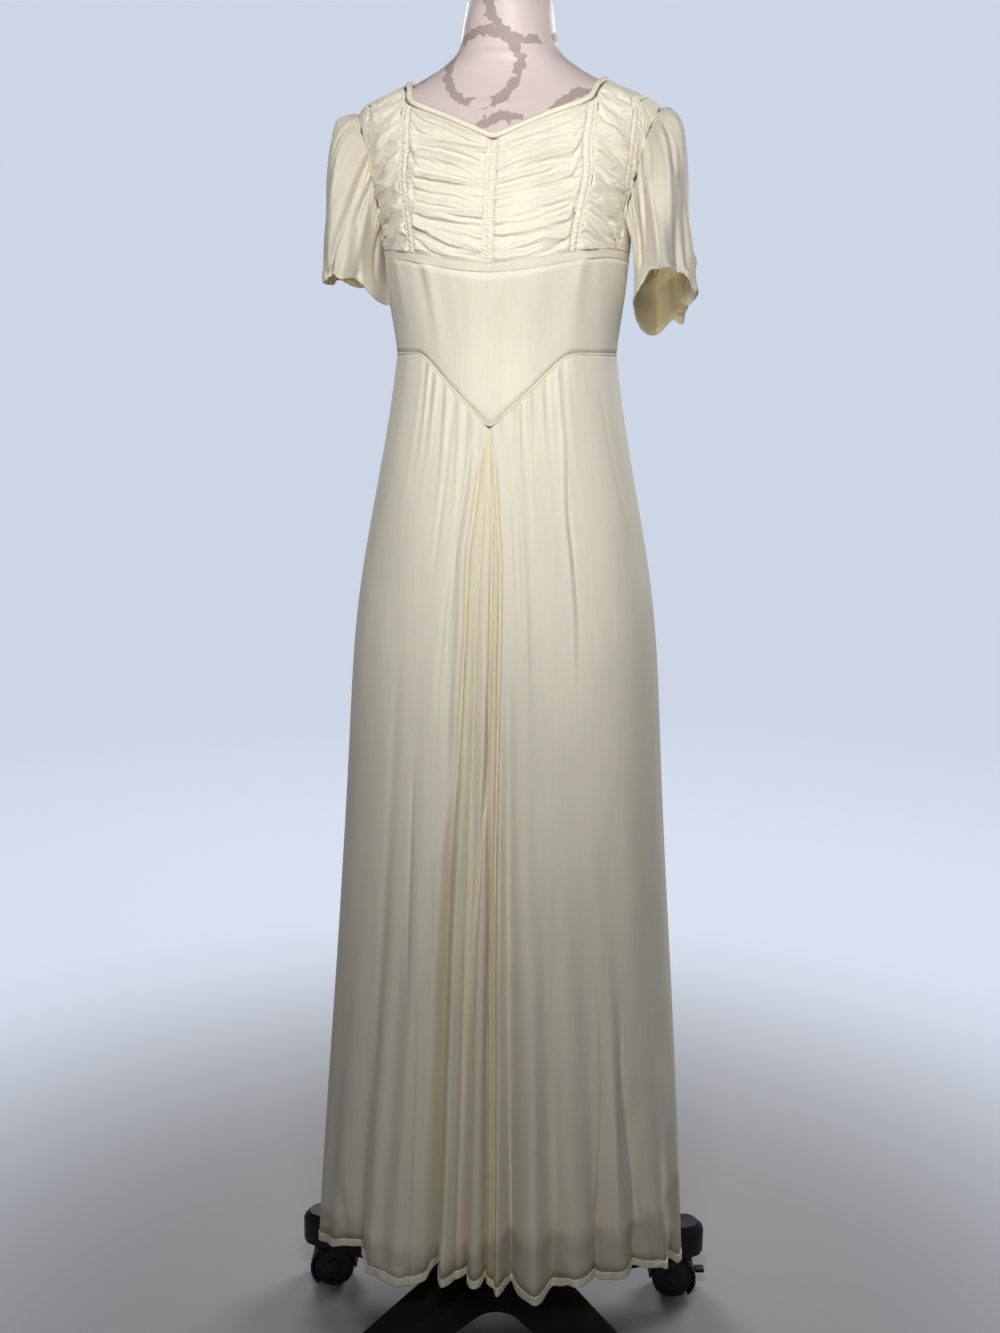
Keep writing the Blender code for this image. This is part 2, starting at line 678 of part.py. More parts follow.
def make_midriff():
    """Under-bust band, pointed front midriff and plain back midriff."""
    side = 0.25 - SIDE_GAP_TURN
    places = level_patch(band_bottom, band_top, -side, side, 24, 1)
    wall("under_bust_band", lay_on_body(places), CREPE, thickness=CLOTH + 0.0003)

    places = turns_patch(lambda turn: waist_seam(turn) + waist_gap(turn),
                         lambda turn: band_bottom(turn) - SEAM_GAP, waist_turns(), 4)
    relief = []
    for i, row in enumerate(places):
        fade = math.sin(math.pi * i / (len(places) - 1))
        relief.append([0.0009 * fade * max(0.0, math.sin(61 * turn + 0.8) + 0.4 * math.sin(113 * turn))
                       for turn, _ in row])
    wall("midriff_front", lay_on_body(places), CREPE, relief=relief)

    top = band_bottom(0.25) - SEAM_GAP
    places = level_patch(lambda turn: WAIST + PIPING_RADIUS + SEAM_GAP, lambda turn: top,
                         0.25 + SIDE_GAP_TURN, 0.75 - SIDE_GAP_TURN, 18, 2)
    wall("midriff_back", lay_on_body(places), CREPE)


def back_place(place):
    """The place behind one on the front."""
    return 0.5 - place[0], place[1]


def make_back():
    """Two plain back panels that meet at centre back."""
    low = band_bottom(0.25)
    centre_gap = 0.0006
    side_turn = 0.25 + SIDE_GAP_TURN
    neck = where(panel_back_neckline, lambda turn, height: turn < 0.5 - centre_gap)
    neck_end = panel_back_neckline(neck)
    start = where(panel_back_neckline, lambda turn, height: turn < 0.2510)
    neck_height = panel_back_neckline(start)[1]

    def under_arm(s):
        return side_turn, low + (ARMPIT - low) * s

    def round_arm(s):
        turn, height = back_place(armhole(s))
        return max(turn, side_turn), height

    def shoulder(s):
        return side_turn, SHOULDER_TIP + (neck_height - SHOULDER_TIP) * s

    def centre_edge(s):
        return 0.5 - centre_gap, low + (neck_end[1] - low) * s

    places = patch(lambda s: (side_turn + (0.5 - centre_gap - side_turn) * s, low),
                   part_of(panel_back_neckline, start, neck),
                   joined(joined(under_arm, round_arm, 0.125), shoulder, 0.80), centre_edge, 9,
                   (0, 0.10, 0.27, 0.43, 0.57, 0.69, 0.80, 0.90, 1))
    for side in (1, -1):
        wall(f"back_panel_{side_name(side)}", lay_on_body(places, side), CREPE, flip=side < 0)


def make_binding():
    """Narrow rouleau round the neckline, and the piping in the waist seam."""
    front_count, back_count = 13, 6
    lift = BINDING_RADIUS - FORM_CLEAR + SEAM_GAP
    half = [neckline(s) for s in np.linspace(0, 1, front_count + 1)]
    behind = [back_neckline(s) for s in np.linspace(0, 1, back_count + 1)][1:]
    right_half = half + behind
    points = []
    for turn, height in right_half:
        safe = min(max(turn, 0.0008), 0.4992)
        points.append(on_body(turn, height) + body_frame(safe, height)[2] * lift)
    points[0].x = 0.0
    points[-1].x = 0.0
    loop = points + [Vector((-p.x, p.y, p.z)) for p in reversed(points[1:-1])]
    roll("neck_binding", loop, BINDING_RADIUS, CREPE, closed=True)

    back_turns = np.linspace(0.25 + SIDE_GAP_TURN, 0.75 - SIDE_GAP_TURN, 19)
    for name, turns in (("waist_piping_front", waist_turns()), ("waist_piping_back", back_turns)):
        line = [on_body(turn, waist_seam(turn)) + body_frame(turn, WAIST)[2] * PIPING_RADIUS for turn in turns]
        roll(name, line, PIPING_RADIUS, CREPE, fineness=0)


# Skirt

def hem_height(turn):
    """Height of the hem's lower edge above the floor."""
    if abs(turn) <= 0.25:
        return HEM_AT_SIDE + HEM_RISE_FRONT * abs(math.cos(math.tau * turn)) ** 1.3
    return HEM_AT_SIDE + HEM_RISE_BACK * abs(math.cos(math.tau * turn))


def hem_turn_front(u):
    """Turn at the hem of the column at u, -1 to 1."""
    return (0.25 - SIDE_GAP_TURN) * (0.60 * u + 0.40 * u ** 3)


def seam_turn_back(u):
    """Turn of a back column, the same at the seam and at the hem."""
    return 0.5 + (0.25 - SIDE_GAP_TURN) * u


def fold_depth(folds, place, height):
    """How far the folds move the cloth out at a place along the hem and a height."""
    total = 0.0
    for fold in folds:
        if height < fold["starts"]:
            grown = ((fold["starts"] - height) / (fold["starts"] - HEM_MIDDLE)) ** 1.15
            total += fold["depth"] * min(grown, 1.05) * bell((place - fold["place"]) / fold["half_width"])
    return total


def skirt_places(front, columns, levels, low_edge, inset, fullness=1.0):
    """Points of a skirt layer: levels run from 0 at its lower edge to 1 at the waist seam."""
    seam_turn = waist_turn if front else seam_turn_back
    hem_turn = hem_turn_front if front else seam_turn_back
    folds = named_rows(FOLD_COLUMNS, FRONT_FOLDS if front else BACK_FOLDS)
    rows = []
    for v in levels:
        row = []
        for column in range(columns + 1):
            u = 2 * column / columns - 1
            place = hem_turn(u)
            top = waist_seam(seam_turn(u)) - waist_gap(seam_turn(u))
            hem = hem_height(place)
            low = low_edge(place)
            height = low + (top - low) * v
            fall = min((top - height) / (top - hem), 1.0)
            turn = seam_turn(u) + (place - seam_turn(u)) * fall
            point = on_body(turn, height)
            half_width, front_depth, back_depth, _ = section(height)
            depth = front_depth if point.y < 0 else back_depth
            out = Vector((point.x / half_width ** 2, point.y / depth ** 2, 0)).normalized()
            at_side = ramp(1 - abs(u), 0.0, 0.05)
            moved = fold_depth(folds, place, height) * at_side * fullness
            if inset:
                moved -= LINING_AT_SEAM + (inset - LINING_AT_SEAM) * ramp(1 - abs(u), 0.0, 0.16)
            scale = 1.0 if front else 0.6
            moved += scale * gather_height(column, columns, top - height, abs(seam_turn(u) - 0.5 * (not front)))
            row.append(point + out * moved)
        rows.append(row)
    return np.array(rows)


def gather_height(column, columns, below_seam, from_centre):
    """Small gathers under the waist seam, two columns each, which fade out down the skirt."""
    if column % 2 == columns // 2 % 2 or column in (0, columns) or below_seam > 0.25:
        return 0.0
    rise = ramp(below_seam, 0.0, 0.030)
    fade = 1 - ramp(below_seam, 0.05, 0.22)
    return 0.0016 * rise * fade * (1 - 0.6 * ramp(from_centre, 0.10, 0.16))


def make_skirt():
    """Front and back of the flared skirt, their turned hems and the edge of the lining."""
    levels = (0.0, 0.10, 0.25, 0.42, 0.58, 0.73, 0.85, 0.93, 0.975, 1.0)
    for front, label, columns in ((True, "front", SKIRT_COLUMNS), (False, "back", 28)):
        points = skirt_places(front, columns, levels, lambda t: hem_height(t) + HEM_HEIGHT + SEAM_GAP, 0.0)
        wall(f"skirt_{label}", points, CREPE)
        top_share = HEM_HEIGHT / (WAIST - HEM_MIDDLE)
        points = skirt_places(front, columns, (0.0, top_share), hem_height, 0.0)
        wall(f"skirt_hem_{label}", points, CREPE, thickness=HEM_WALL)
        lining_levels = (0.0, 0.14)
        points = skirt_places(front, columns // 2, lining_levels, lining_hem, LINING_INSET, LINING_FULLNESS)
        wall(f"lining_edge_{label}", points, LINING)


def lining_hem(place):
    """Height of the lining's edge, which is uneven."""
    return 0.2080 + 0.0300 * math.sin(math.tau * (place + 0.02)) + 0.0100 * math.sin(5 * math.tau * place)


# Sleeves

SLEEVE_CURVES = table_curves(SLEEVE_COLUMNS, SLEEVE)


def seam_place(angle):
    """Point of the armhole seam at an angle round the sleeve, 0 in front and 90 degrees over the arm."""
    angle = (angle + math.pi / 2) % math.tau
    share = angle / math.pi if angle <= math.pi else 2 - angle / math.pi
    turn, height = armhole(share)
    turn = turn if angle <= math.pi else 0.5 - turn
    normal = body_frame(turn, height)[2]
    return on_body(turn, height) + normal * (CLOTH + 5 * SEAM_GAP)


def sleeve_line(along):
    """The four guide lines of the sleeve at a share of its length."""
    at = {name: curve(along) for name, curve in SLEEVE_CURVES.items()}
    return (Vector((at["outer_x"], 0.0, at["outer_z"])), Vector((at["front_x"], at["front_y"], at["front_z"])),
            Vector((at["inner_x"], 0.0, at["inner_z"])), Vector((at["back_x"], at["back_y"], at["back_z"])))


def round_sleeve(angle, along):
    """Point between the guide lines at an angle round the sleeve."""
    outer, front, inner, back = sleeve_line(along)
    middle = (outer + inner) / 2
    sine, cosine = math.sin(angle), math.cos(angle)
    by_side = (outer if sine > 0 else inner) - middle
    by_depth = (front if cosine > 0 else back) - middle
    return middle, middle + by_side * abs(sine) + by_depth * abs(cosine)


def sleeve_points(side, columns, levels):
    """Rows of points from the hem up to the armhole seam, gathered at the cap and waved at the hem."""
    own = SLEEVE_SIDES[side]
    start = own["start"]
    rows = []
    for along in levels:
        row = []
        for column in range(columns):
            angle = math.tau * column / columns
            middle, point = round_sleeve(angle, along)
            at_seam = round_sleeve(angle, 0.0)[1]
            point = point + (seam_place(angle) - at_seam) * (1 - along) ** 3
            out = point - middle
            out.z *= 0.3
            out.normalize()
            free = 1 - 0.9 * ramp(-math.sin(angle), 0.05, 0.75)
            over = ramp(math.sin(angle), -0.2, 0.7)
            gathers = CAP_GATHER * over * math.cos(8 * angle) * ramp(along, 0.02, 0.12)
            gathers *= 1 - ramp(along, 0.30, 0.60)
            wave = math.sin(6 * angle + start) + 0.55 * math.sin(3 * angle + 2.1 * start)
            waves = SLEEVE_WAVE * wave * ramp(along, 0.35, 1.0) * free
            point = point + out * (gathers + waves)
            back_share = ramp(-math.cos(angle), -0.2, 1.0)
            outer_share = ramp(math.sin(angle), 0.2, 1.0)
            point.z -= (own["drop_back"] * back_share + own["drop_outer"] * outer_share) * ramp(along, 0.2, 1.0)
            point.z += SLEEVE_HEM_WAVE * math.sin(6 * angle + start + 1.2) * ramp(along, 0.5, 1.0) * free
            row.append((side * point.x, point.y, point.z))
        rows.append(row)
    return np.array(rows)


def make_sleeves():
    """Short puffed sleeves with narrow turned hems, open at both ends."""
    hem_start = 1 - SLEEVE_HEM_SHARE
    for side in (-1, 1):
        levels = (hem_start - 0.003, 0.84, 0.68, 0.51, 0.36, 0.23, 0.13, 0.05, 0.0)
        wall(f"sleeve_{side_name(side)}", sleeve_points(side, SLEEVE_COLUMN_COUNT, levels), CREPE,
             around=True, flip=side < 0)
        wall(f"sleeve_hem_{side_name(side)}", sleeve_points(side, SLEEVE_COLUMN_COUNT, (1.0, hem_start)), CREPE,
             thickness=HEM_WALL, around=True, flip=side < 0)


# Dress form

def make_form():
    """Torso and neck of the padded form in one smooth solid, and the flat cap on its neck."""
    heights = [FORM_BOTTOM, 0.815, 0.900, 0.985, 1.050, 1.118, 1.175, 1.225, 1.265, 1.305, 1.345, 1.380,
               1.415, 1.450, 1.485, 1.512, 1.528, 1.538, 1.550, 1.565, 1.580, 1.594, 1.608, NECK_TOP]
    columns = 24
    bm = bmesh.new()
    rings = []
    for height in heights:
        ring = []
        clear = FORM_CLEAR + (FORM_CLEAR_HIP - FORM_CLEAR) * ramp(WAIST - height, 0.02, 0.20)
        clear += (FORM_CLEAR_SHOULDER - FORM_CLEAR) * bell((height - 1.525) / 0.08)
        clear += 0.012 * (height == FORM_BOTTOM)
        for column in range(columns):
            turn = column / columns
            normal = body_frame(turn, height)[2]
            if height > 1.60:
                normal.z = 0.0
            behind = ramp(normal.y, -0.5, 0.1) * bell((height - 1.400) / 0.07)
            point = on_body(turn, height) - normal * (clear + (FORM_CLEAR_BACK - FORM_CLEAR) * behind)
            if height in (FORM_BOTTOM, NECK_TOP):
                point.z = height
            ring.append(bm.verts.new(point))
        rings.append(ring)
    for low, high in zip(rings, rings[1:]):
        for j in range(columns):
            k = (j + 1) % columns
            bm.faces.new((low[j], low[k], high[k], high[j]))
    bm.faces.new(rings[0])
    bm.faces.new(rings[-1])
    bmesh.ops.recalc_face_normals(bm, faces=bm.faces)
    add_mesh("form_torso", bm, SATIN)

    bm = bmesh.new()
    bmesh.ops.create_cone(bm, cap_ends=True, segments=20, radius1=0.047, radius2=0.047, depth=NECK_CAP)
    rim = [edge for edge in bm.edges if all(v.co.z > 0 for v in edge.verts)]
    bmesh.ops.bevel(bm, geom=rim, offset=0.003, segments=1, affect="EDGES", profile=0.5)
    bmesh.ops.translate(bm, verts=bm.verts, vec=(0, -0.003, NECK_TOP + SEAM_GAP + NECK_CAP / 2))
    add_mesh("neck_cap", bm, BLACK_PLASTIC)


# Base

def cylinder(name, radius, low, high, sides, finish, place=(0, 0), collection=None, turned=None):
    """An upright cylinder, or one that is turned by a matrix."""
    bm = bmesh.new()
    bmesh.ops.create_cone(bm, cap_ends=True, segments=sides, radius1=radius, radius2=radius, depth=high - low)
    bmesh.ops.translate(bm, verts=bm.verts, vec=(0, 0, (low + high) / 2))
    if turned is not None:
        bmesh.ops.transform(bm, matrix=turned, verts=bm.verts)
    bmesh.ops.translate(bm, verts=bm.verts, vec=(*place, 0))
    return add_mesh(name, bm, finish, collection)


def cut(target, cutter, operation="DIFFERENCE"):
    """Give the target a Boolean with a hidden cutter."""
    cutter.hide_render = True
    cutter.display_type = "WIRE"
    modifier = target.modifiers.new(cutter.name, "BOOLEAN")
    modifier.operation = operation
    modifier.object = cutter


def leg_direction(leg):
    """Angle of a leg round the axis, from +X, with the first two legs at the front."""
    return -math.pi / 2 + STAR_TURN + math.radians(-36 + 72 * leg)


def leg_outline():
    """Outline of one leg along +X, from one crotch to the next: hollow corners, straight sides, round end."""
    half_step = math.pi / LEGS
    corner_x = (LEG_HALF + CROTCH_RADIUS) / math.tan(half_step)
    corner_y = LEG_HALF + CROTCH_RADIUS
    arc_steps = 4
    hollow = []
    for step in range(arc_steps + 1):
        angle = math.pi + half_step + (math.pi / 2 - half_step) * step / arc_steps
        hollow.append((corner_x + CROTCH_RADIUS * math.cos(angle), corner_y + CROTCH_RADIUS * math.sin(angle)))
    end_steps = 6
    centre = LEG_END - LEG_HALF_END
    end = []
    for step in range(end_steps + 1):
        angle = math.pi / 2 - math.pi * step / end_steps
        end.append((centre + LEG_HALF_END * math.cos(angle), LEG_HALF_END * math.sin(angle)))
    return hollow + end + [(x, -y) for x, y in reversed(hollow)]


def make_base():
    """Five-legged star with a collar, in one moulding, and the post that carries the form."""
    outline = leg_outline()
    bm = bmesh.new()
    crotch_x, crotch_y = outline[0]
    made = {}

    def vert(x, y, high, along):
        share = max(along - crotch_x, 0.0) / (LEG_END - crotch_x)
        z = LEG_TOP_HUB + (LEG_TOP_END - LEG_TOP_HUB) * share if high else LEG_BOTTOM
        key = (round(x, 6), round(y, 6), high)
        if key not in made:
            made[key] = bm.verts.new((x, y, z))
        return made[key]

    rim = []
    for high in (True, False):
        hub = []
        for leg in range(LEGS):
            direction = leg_direction(leg)
            cosine, sine = math.cos(direction), math.sin(direction)
            ring = [vert(x * cosine - y * sine, x * sine + y * cosine, high, x) for x, y in outline]
            bm.faces.new(ring)
            rim.append(ring)
            hub.append(ring[-1])
        bm.faces.new(hub)
    for top, bottom in zip(rim[:LEGS], rim[LEGS:]):
        for (a, b), (c, d) in zip(zip(top, top[1:]), zip(bottom, bottom[1:])):
            bm.faces.new((a, b, d, c))
    upper = {vert for ring in rim[:LEGS] for vert in ring}
    edges = [edge for edge in bm.edges if all(v in upper for v in edge.verts)
             and any(not all(v in upper for v in face.verts) for face in edge.link_faces)]
    bmesh.ops.bevel(bm, geom=edges, offset=0.008, segments=1, affect="EDGES", profile=0.5)
    bmesh.ops.recalc_face_normals(bm, faces=bm.faces)
    star = add_mesh("star_base", bm, BLACK_PLASTIC)
    collar = cylinder("collar_form", COLLAR_RADIUS, LEG_TOP_HUB - 0.01, COLLAR_TOP, 20, None, collection=CUTTERS)
    cut(star, collar, "UNION")
    for leg in range(LEGS):
        direction = leg_direction(leg)
        place = (STEM_PLACE * math.cos(direction), STEM_PLACE * math.sin(direction))
        cut(star, cylinder(f"stem_bore_{leg + 1}", STEM_BORE, LEG_BOTTOM - 0.01, LEG_BOTTOM + STEM_LENGTH, 12, None,
                           place=place, collection=CUTTERS))
    cylinder("form_post", POST_RADIUS, COLLAR_TOP + SEAM_GAP, FORM_BOTTOM - SEAM_GAP, 20, BLACK_STEEL)


def evaluated_mesh(target, name):
    """The target's mesh with its modifiers applied; the target itself is removed."""
    graph = bpy.context.evaluated_depsgraph_get()
    mesh = bpy.data.meshes.new_from_object(target.evaluated_get(graph))
    mesh.name = name
    bpy.data.objects.remove(target, do_unlink=True)
    return mesh


def caster_housing():
    """Hood and centre web over the wheels, with the boss and the stem; trails along +X."""
    across = Matrix.Rotation(math.pi / 2, 4, "X")
    axle_place = Matrix.Translation((TRAIL, 0, WHEEL_AXIS))
    block = cylinder("housing_block", HOOD_RADIUS, -HOOD_HALF, HOOD_HALF, 18, BLACK_PLASTIC,
                     turned=axle_place @ across)
    bm = bmesh.new()
    below = Matrix.Rotation(HOOD_TILT, 4, "Y") @ Matrix.Translation((0, 0, -HOOD_LOW - 0.05))
    bmesh.ops.create_cube(bm, size=0.1, matrix=axle_place @ below)
    cut(block, add_mesh("below_hood", bm, None, CUTTERS))
    cut(block, cylinder("stem_boss", BOSS_RADIUS, 0.040, LEG_BOTTOM - SEAM_GAP, 10, None, collection=CUTTERS),
        "UNION")
    cut(block, cylinder("stem", STEM_RADIUS, 0.050, LEG_BOTTOM + STEM_LENGTH - 0.001, 8, None,
                        collection=CUTTERS), "UNION")
    for sign in (-1, 1):
        low, high = sorted((sign * WEB_HALF, sign * 0.04))
        cut(block, cylinder(f"wheel_room_{sign}", HOOD_INNER, low, high, 18, None, collection=CUTTERS,
                            turned=axle_place @ across))
    cut(block, cylinder("axle_bore", AXLE_BORE, -0.03, 0.03, 10, None, collection=CUTTERS,
                        turned=axle_place @ across))
    bpy.context.view_layer.update()
    return evaluated_mesh(block, "caster_housing")


def wheel_pair():
    """Two wheels on one axle, turned from a profile round their axle."""
    half = [(0.0, WHEEL_OUTER), (WHEEL_RADIUS, WHEEL_OUTER), (WHEEL_RADIUS, WHEEL_INNER),
            (AXLE_RADIUS, WHEEL_INNER)]
    profile = half + [(radius, -y) for radius, y in reversed(half)]
    bm = bmesh.new()
    verts = [bm.verts.new((radius, 0, y)) for radius, y in profile]
    for a, b in zip(verts, verts[1:]):
        bm.edges.new((a, b))
    made = add_mesh("wheel_pair_form", bm, TYRE)
    turning = made.modifiers.new("turned", "SCREW")
    turning.axis = "Z"
    turning.steps = WHEEL_SIDES
    turning.render_steps = WHEEL_SIDES
    turning.use_merge_vertices = True
    turning.merge_threshold = 0.00005
    bpy.context.view_layer.update()
    mesh = evaluated_mesh(made, "caster_wheels")
    half_side = math.pi / WHEEL_SIDES
    mesh.transform(Matrix.Translation((TRAIL, 0, WHEEL_AXIS)) @ Matrix.Rotation(half_side, 4, "Y")
                   @ Matrix.Rotation(math.pi / 2, 4, "X"))
    return mesh


def make_casters():
    """Twin-wheel casters, each swivelling in the end of a leg, one of them with a brake pedal."""
    housing = caster_housing()
    wheels = wheel_pair()
    for leg in range(LEGS):
        direction = leg_direction(leg)
        turned = Matrix.Translation((STEM_PLACE * math.cos(direction), STEM_PLACE * math.sin(direction), 0))
        turned = turned @ Matrix.Rotation(direction + CASTER_TRAILS[leg], 4, "Z")
        for name, mesh in (("caster_housing", housing), ("caster_wheels", wheels)):
            made = bpy.data.objects.new(f"{name}_{leg + 1}", mesh)
            made.matrix_world = turned
            PARTS.objects.link(made)
        if leg == BRAKED_LEG:
            bm = bmesh.new()
            bmesh.ops.create_cube(bm, size=1.0)
            bmesh.ops.scale(bm, vec=PEDAL, verts=bm.verts)
            bmesh.ops.bevel(bm, geom=bm.edges, offset=0.001, segments=1, affect="EDGES", profile=0.5)
            pedal_x = TRAIL - HOOD_RADIUS - PEDAL_GAP - PEDAL[0] / 2
            bmesh.ops.translate(bm, verts=bm.verts, vec=(pedal_x, 0, PEDAL_HEIGHT))
            pedal = add_mesh("brake_pedal", bm, BLACK_PLASTIC)
            pedal.matrix_world = turned


make_bust()
make_midriff()
make_back()
make_binding()
make_skirt()
make_sleeves()
make_form()
make_base()
make_casters()
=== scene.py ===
import json
import math

import bmesh
import bpy
import numpy as np
from mathutils import Matrix, Vector
from mathutils.kdtree import KDTree


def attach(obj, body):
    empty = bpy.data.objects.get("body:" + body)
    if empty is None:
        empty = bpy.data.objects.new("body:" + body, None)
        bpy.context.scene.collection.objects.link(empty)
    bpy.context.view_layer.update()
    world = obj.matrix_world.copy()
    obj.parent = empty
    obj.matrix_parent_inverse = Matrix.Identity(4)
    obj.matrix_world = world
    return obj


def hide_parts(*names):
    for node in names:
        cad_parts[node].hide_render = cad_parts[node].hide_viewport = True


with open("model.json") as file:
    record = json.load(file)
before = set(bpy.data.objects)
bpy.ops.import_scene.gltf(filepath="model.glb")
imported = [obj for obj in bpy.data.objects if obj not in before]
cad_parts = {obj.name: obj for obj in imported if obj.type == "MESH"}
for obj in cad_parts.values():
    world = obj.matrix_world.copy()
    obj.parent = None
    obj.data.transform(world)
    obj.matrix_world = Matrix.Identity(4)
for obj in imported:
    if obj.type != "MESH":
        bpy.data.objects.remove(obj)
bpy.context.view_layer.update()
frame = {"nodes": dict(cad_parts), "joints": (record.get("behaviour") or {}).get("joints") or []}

# The studio: a grey floor that runs out to a pale wall all round, a soft light above the camera, a
# weak one below it that reaches into the sleeves, two behind, and an even pale sky.


class Shade:
    """An output in a material's nodes. Sums and products of it add Math nodes."""

    def __init__(self, tree, output):
        self.tree = tree
        self.output = output

    def add(self, kind, settings=None, inputs=None, output=0):
        """Adds any other node: its settings first, then the values or links of its sockets."""
        node = self.tree.nodes.new(kind)
        for name, value in (settings or {}).items():
            setattr(node, name, value)
        for name, value in (inputs or {}).items():
            if isinstance(value, Shade):
                self.tree.links.new(value.output, node.inputs[name])
            else:
                node.inputs[name].default_value = value
        return Shade(self.tree, node.outputs[output])

    def maths(self, operation, first, second=0.0):
        return self.add("ShaderNodeMath", {"operation": operation}, {0: first, 1: second})

    def __add__(self, other):
        return self.maths("ADD", self, other)

    __radd__ = __add__

    def __sub__(self, other):
        return self.maths("SUBTRACT", self, other)

    def __rsub__(self, other):
        return self.maths("SUBTRACT", other, self)

    def __mul__(self, other):
        return self.maths("MULTIPLY", self, other)

    __rmul__ = __mul__

    def rise(self, low, high):
        """0 up to low and 1 from high, smooth between."""
        return self.add("ShaderNodeMapRange", {"interpolation_type": "SMOOTHSTEP"},
                        {"Value": self, "From Min": low, "From Max": high})

    def tint(self, first, second):
        """The first colour where this is 0 and the second where it is 1."""
        first, second = (colour if isinstance(colour, Shade) else (*colour, 1)
                         for colour in (first, second))
        return self.add("ShaderNodeMix", {"data_type": "RGBA"}, {0: self, 6: first, 7: second}, 2)

    def noise(self, scale, detail=2.0, stretch=(1, 1, 1)):
        """Noise at this place, of about 0.3 to 0.7, with its grain stretched by axis."""
        place = self.add("ShaderNodeMapping", None, {"Vector": self, "Scale": stretch})
        inputs = {"Vector": place, "Scale": scale, "Detail": detail}
        return place.add("ShaderNodeTexNoise", None, inputs)

    def bump(self, distance, strength=1.0):
        """A normal with this as its relief, in metres."""
        inputs = {"Height": self, "Distance": distance, "Strength": strength}
        return self.add("ShaderNodeBump", None, inputs, "Normal")


def new_material(name):
    """A material and the place on its object, in metres."""
    made = bpy.data.materials.new(name)
    made.use_nodes = True
    start = Shade(made.node_tree, None)
    return made, start.add("ShaderNodeTexCoord", None, None, "Object")


def finish(made, values):
    """Sets or links the sockets of a material's shader."""
    shader = made.node_tree.nodes["Principled BSDF"]
    for name, value in values.items():
        if isinstance(value, Shade):
            made.node_tree.links.new(value.output, shader.inputs[name])
        else:
            shader.inputs[name].default_value = value


def new_piece(name, mesh, made):
    """An object with this mesh, its place in its mesh."""
    piece = bpy.data.objects.new(name, mesh)
    bpy.context.scene.collection.objects.link(piece)
    mesh.materials.clear()
    mesh.materials.append(made)
    return piece


def turned(bm, outline, axis, steps):
    """Adds the surface that an outline of points sweeps in a full turn round an axis."""
    points = [bm.verts.new(point) for point in outline]
    edges = [bm.edges.new(ends) for ends in zip(points, points[1:])]
    bmesh.ops.spin(bm, geom=points + edges, cent=(0, 0, 0), axis=axis, angle=math.tau, steps=steps,
                   use_merge=True)


def mesh_of(bm, name):
    """The finished mesh of a bmesh, shaded smooth except at its sharp edges."""
    mesh = bpy.data.meshes.new(name)
    bm.to_mesh(mesh)
    bm.free()
    mesh.shade_smooth()
    mesh.set_sharp_from_angle(angle=math.radians(40))
    return mesh


FLOOR_RADIUS = 3.3
WALL_RADIUS = 4.6
CORNER_HEIGHT = 1.3         # of the rounded corner between the floor and the wall
WALL_HEIGHT = 5.5
ROOM_SIDES = 96
PALE_FROM, PALE_AT = 0.45, 1.6      # metres from the middle, where the grey gives way to the wall
FLOOR_GREY = (0.37, 0.37, 0.385)
FAR_GREY = (0.10, 0.10, 0.11)
WALL_GLOW = (0.62, 0.68, 0.80)

studio_paint, place = new_material("studio_paint")
from_middle = place.add("ShaderNodeVectorMath", {"operation": "LENGTH"}, {0: place}, "Value")
far = from_middle.rise(PALE_FROM, PALE_AT)
finish(studio_paint, {"Base Color": far.tint(FLOOR_GREY, FAR_GREY), "Roughness": 0.95,
                      "Emission Color": far.tint((0.0, 0.0, 0.0), WALL_GLOW),
                      "Emission Strength": 0.97, "Specular IOR Level": 0.1})
bm = bmesh.new()
bmesh.ops.create_circle(bm, cap_ends=True, segments=ROOM_SIDES, radius=FLOOR_RADIUS)
floor = new_piece("studio_floor", mesh_of(bm, "studio_floor"), studio_paint)
bm = bmesh.new()
corner = [(FLOOR_RADIUS + (WALL_RADIUS - FLOOR_RADIUS) * math.sin(t), 0,
           CORNER_HEIGHT * (1 - math.cos(t))) for t in np.linspace(0, math.pi / 2, 12)]
turned(bm, corner + [(WALL_RADIUS, 0, WALL_HEIGHT)], (0, 0, 1), ROOM_SIDES)
wall = new_piece("studio_wall", mesh_of(bm, "studio_wall"), studio_paint)
wall.visible_shadow = False
wall.visible_diffuse = False
wall.visible_glossy = False
floor.visible_diffuse = False

# Each light's width, its power in watts, its spread in degrees, its place and the point it faces.
LIGHTS = {
    "light_above": (0.45, 18.6, 180, (0.20, -1.35, 1.88), (0, 0, 1.78)),
    "light_low": (0.5, 0.70, 55, (0.10, -1.60, 0.95), (0.04, 0, 1.34)),
    "light_behind_left": (1.2, 40, 180, (-1.1, 2.3, 2.0), (0, 0, 0.9)),
    "light_behind_right": (1.2, 40, 180, (1.3, 2.2, 2.0), (0, 0, 0.9)),
}
for name, (width, power, spread, stand, aim) in LIGHTS.items():
    data = bpy.data.lights.new(name, "AREA")
    data.size = width
    data.energy = power
    data.spread = math.radians(spread)
    light = bpy.data.objects.new(name, data)
    bpy.context.scene.collection.objects.link(light)
    light.visible_camera = False
    light.location = stand
    light.rotation_euler = (Vector(aim) - Vector(stand)).to_track_quat("-Z", "Y").to_euler()
SKY_COLOUR = (0.88, 0.93, 1.0, 1)
SKY_STRENGTH = 0.075
sky = bpy.data.worlds.new("studio_sky")
sky.use_nodes = True
sky.node_tree.nodes["Background"].inputs["Color"].default_value = SKY_COLOUR
sky.node_tree.nodes["Background"].inputs["Strength"].default_value = SKY_STRENGTH
bpy.context.scene.world = sky

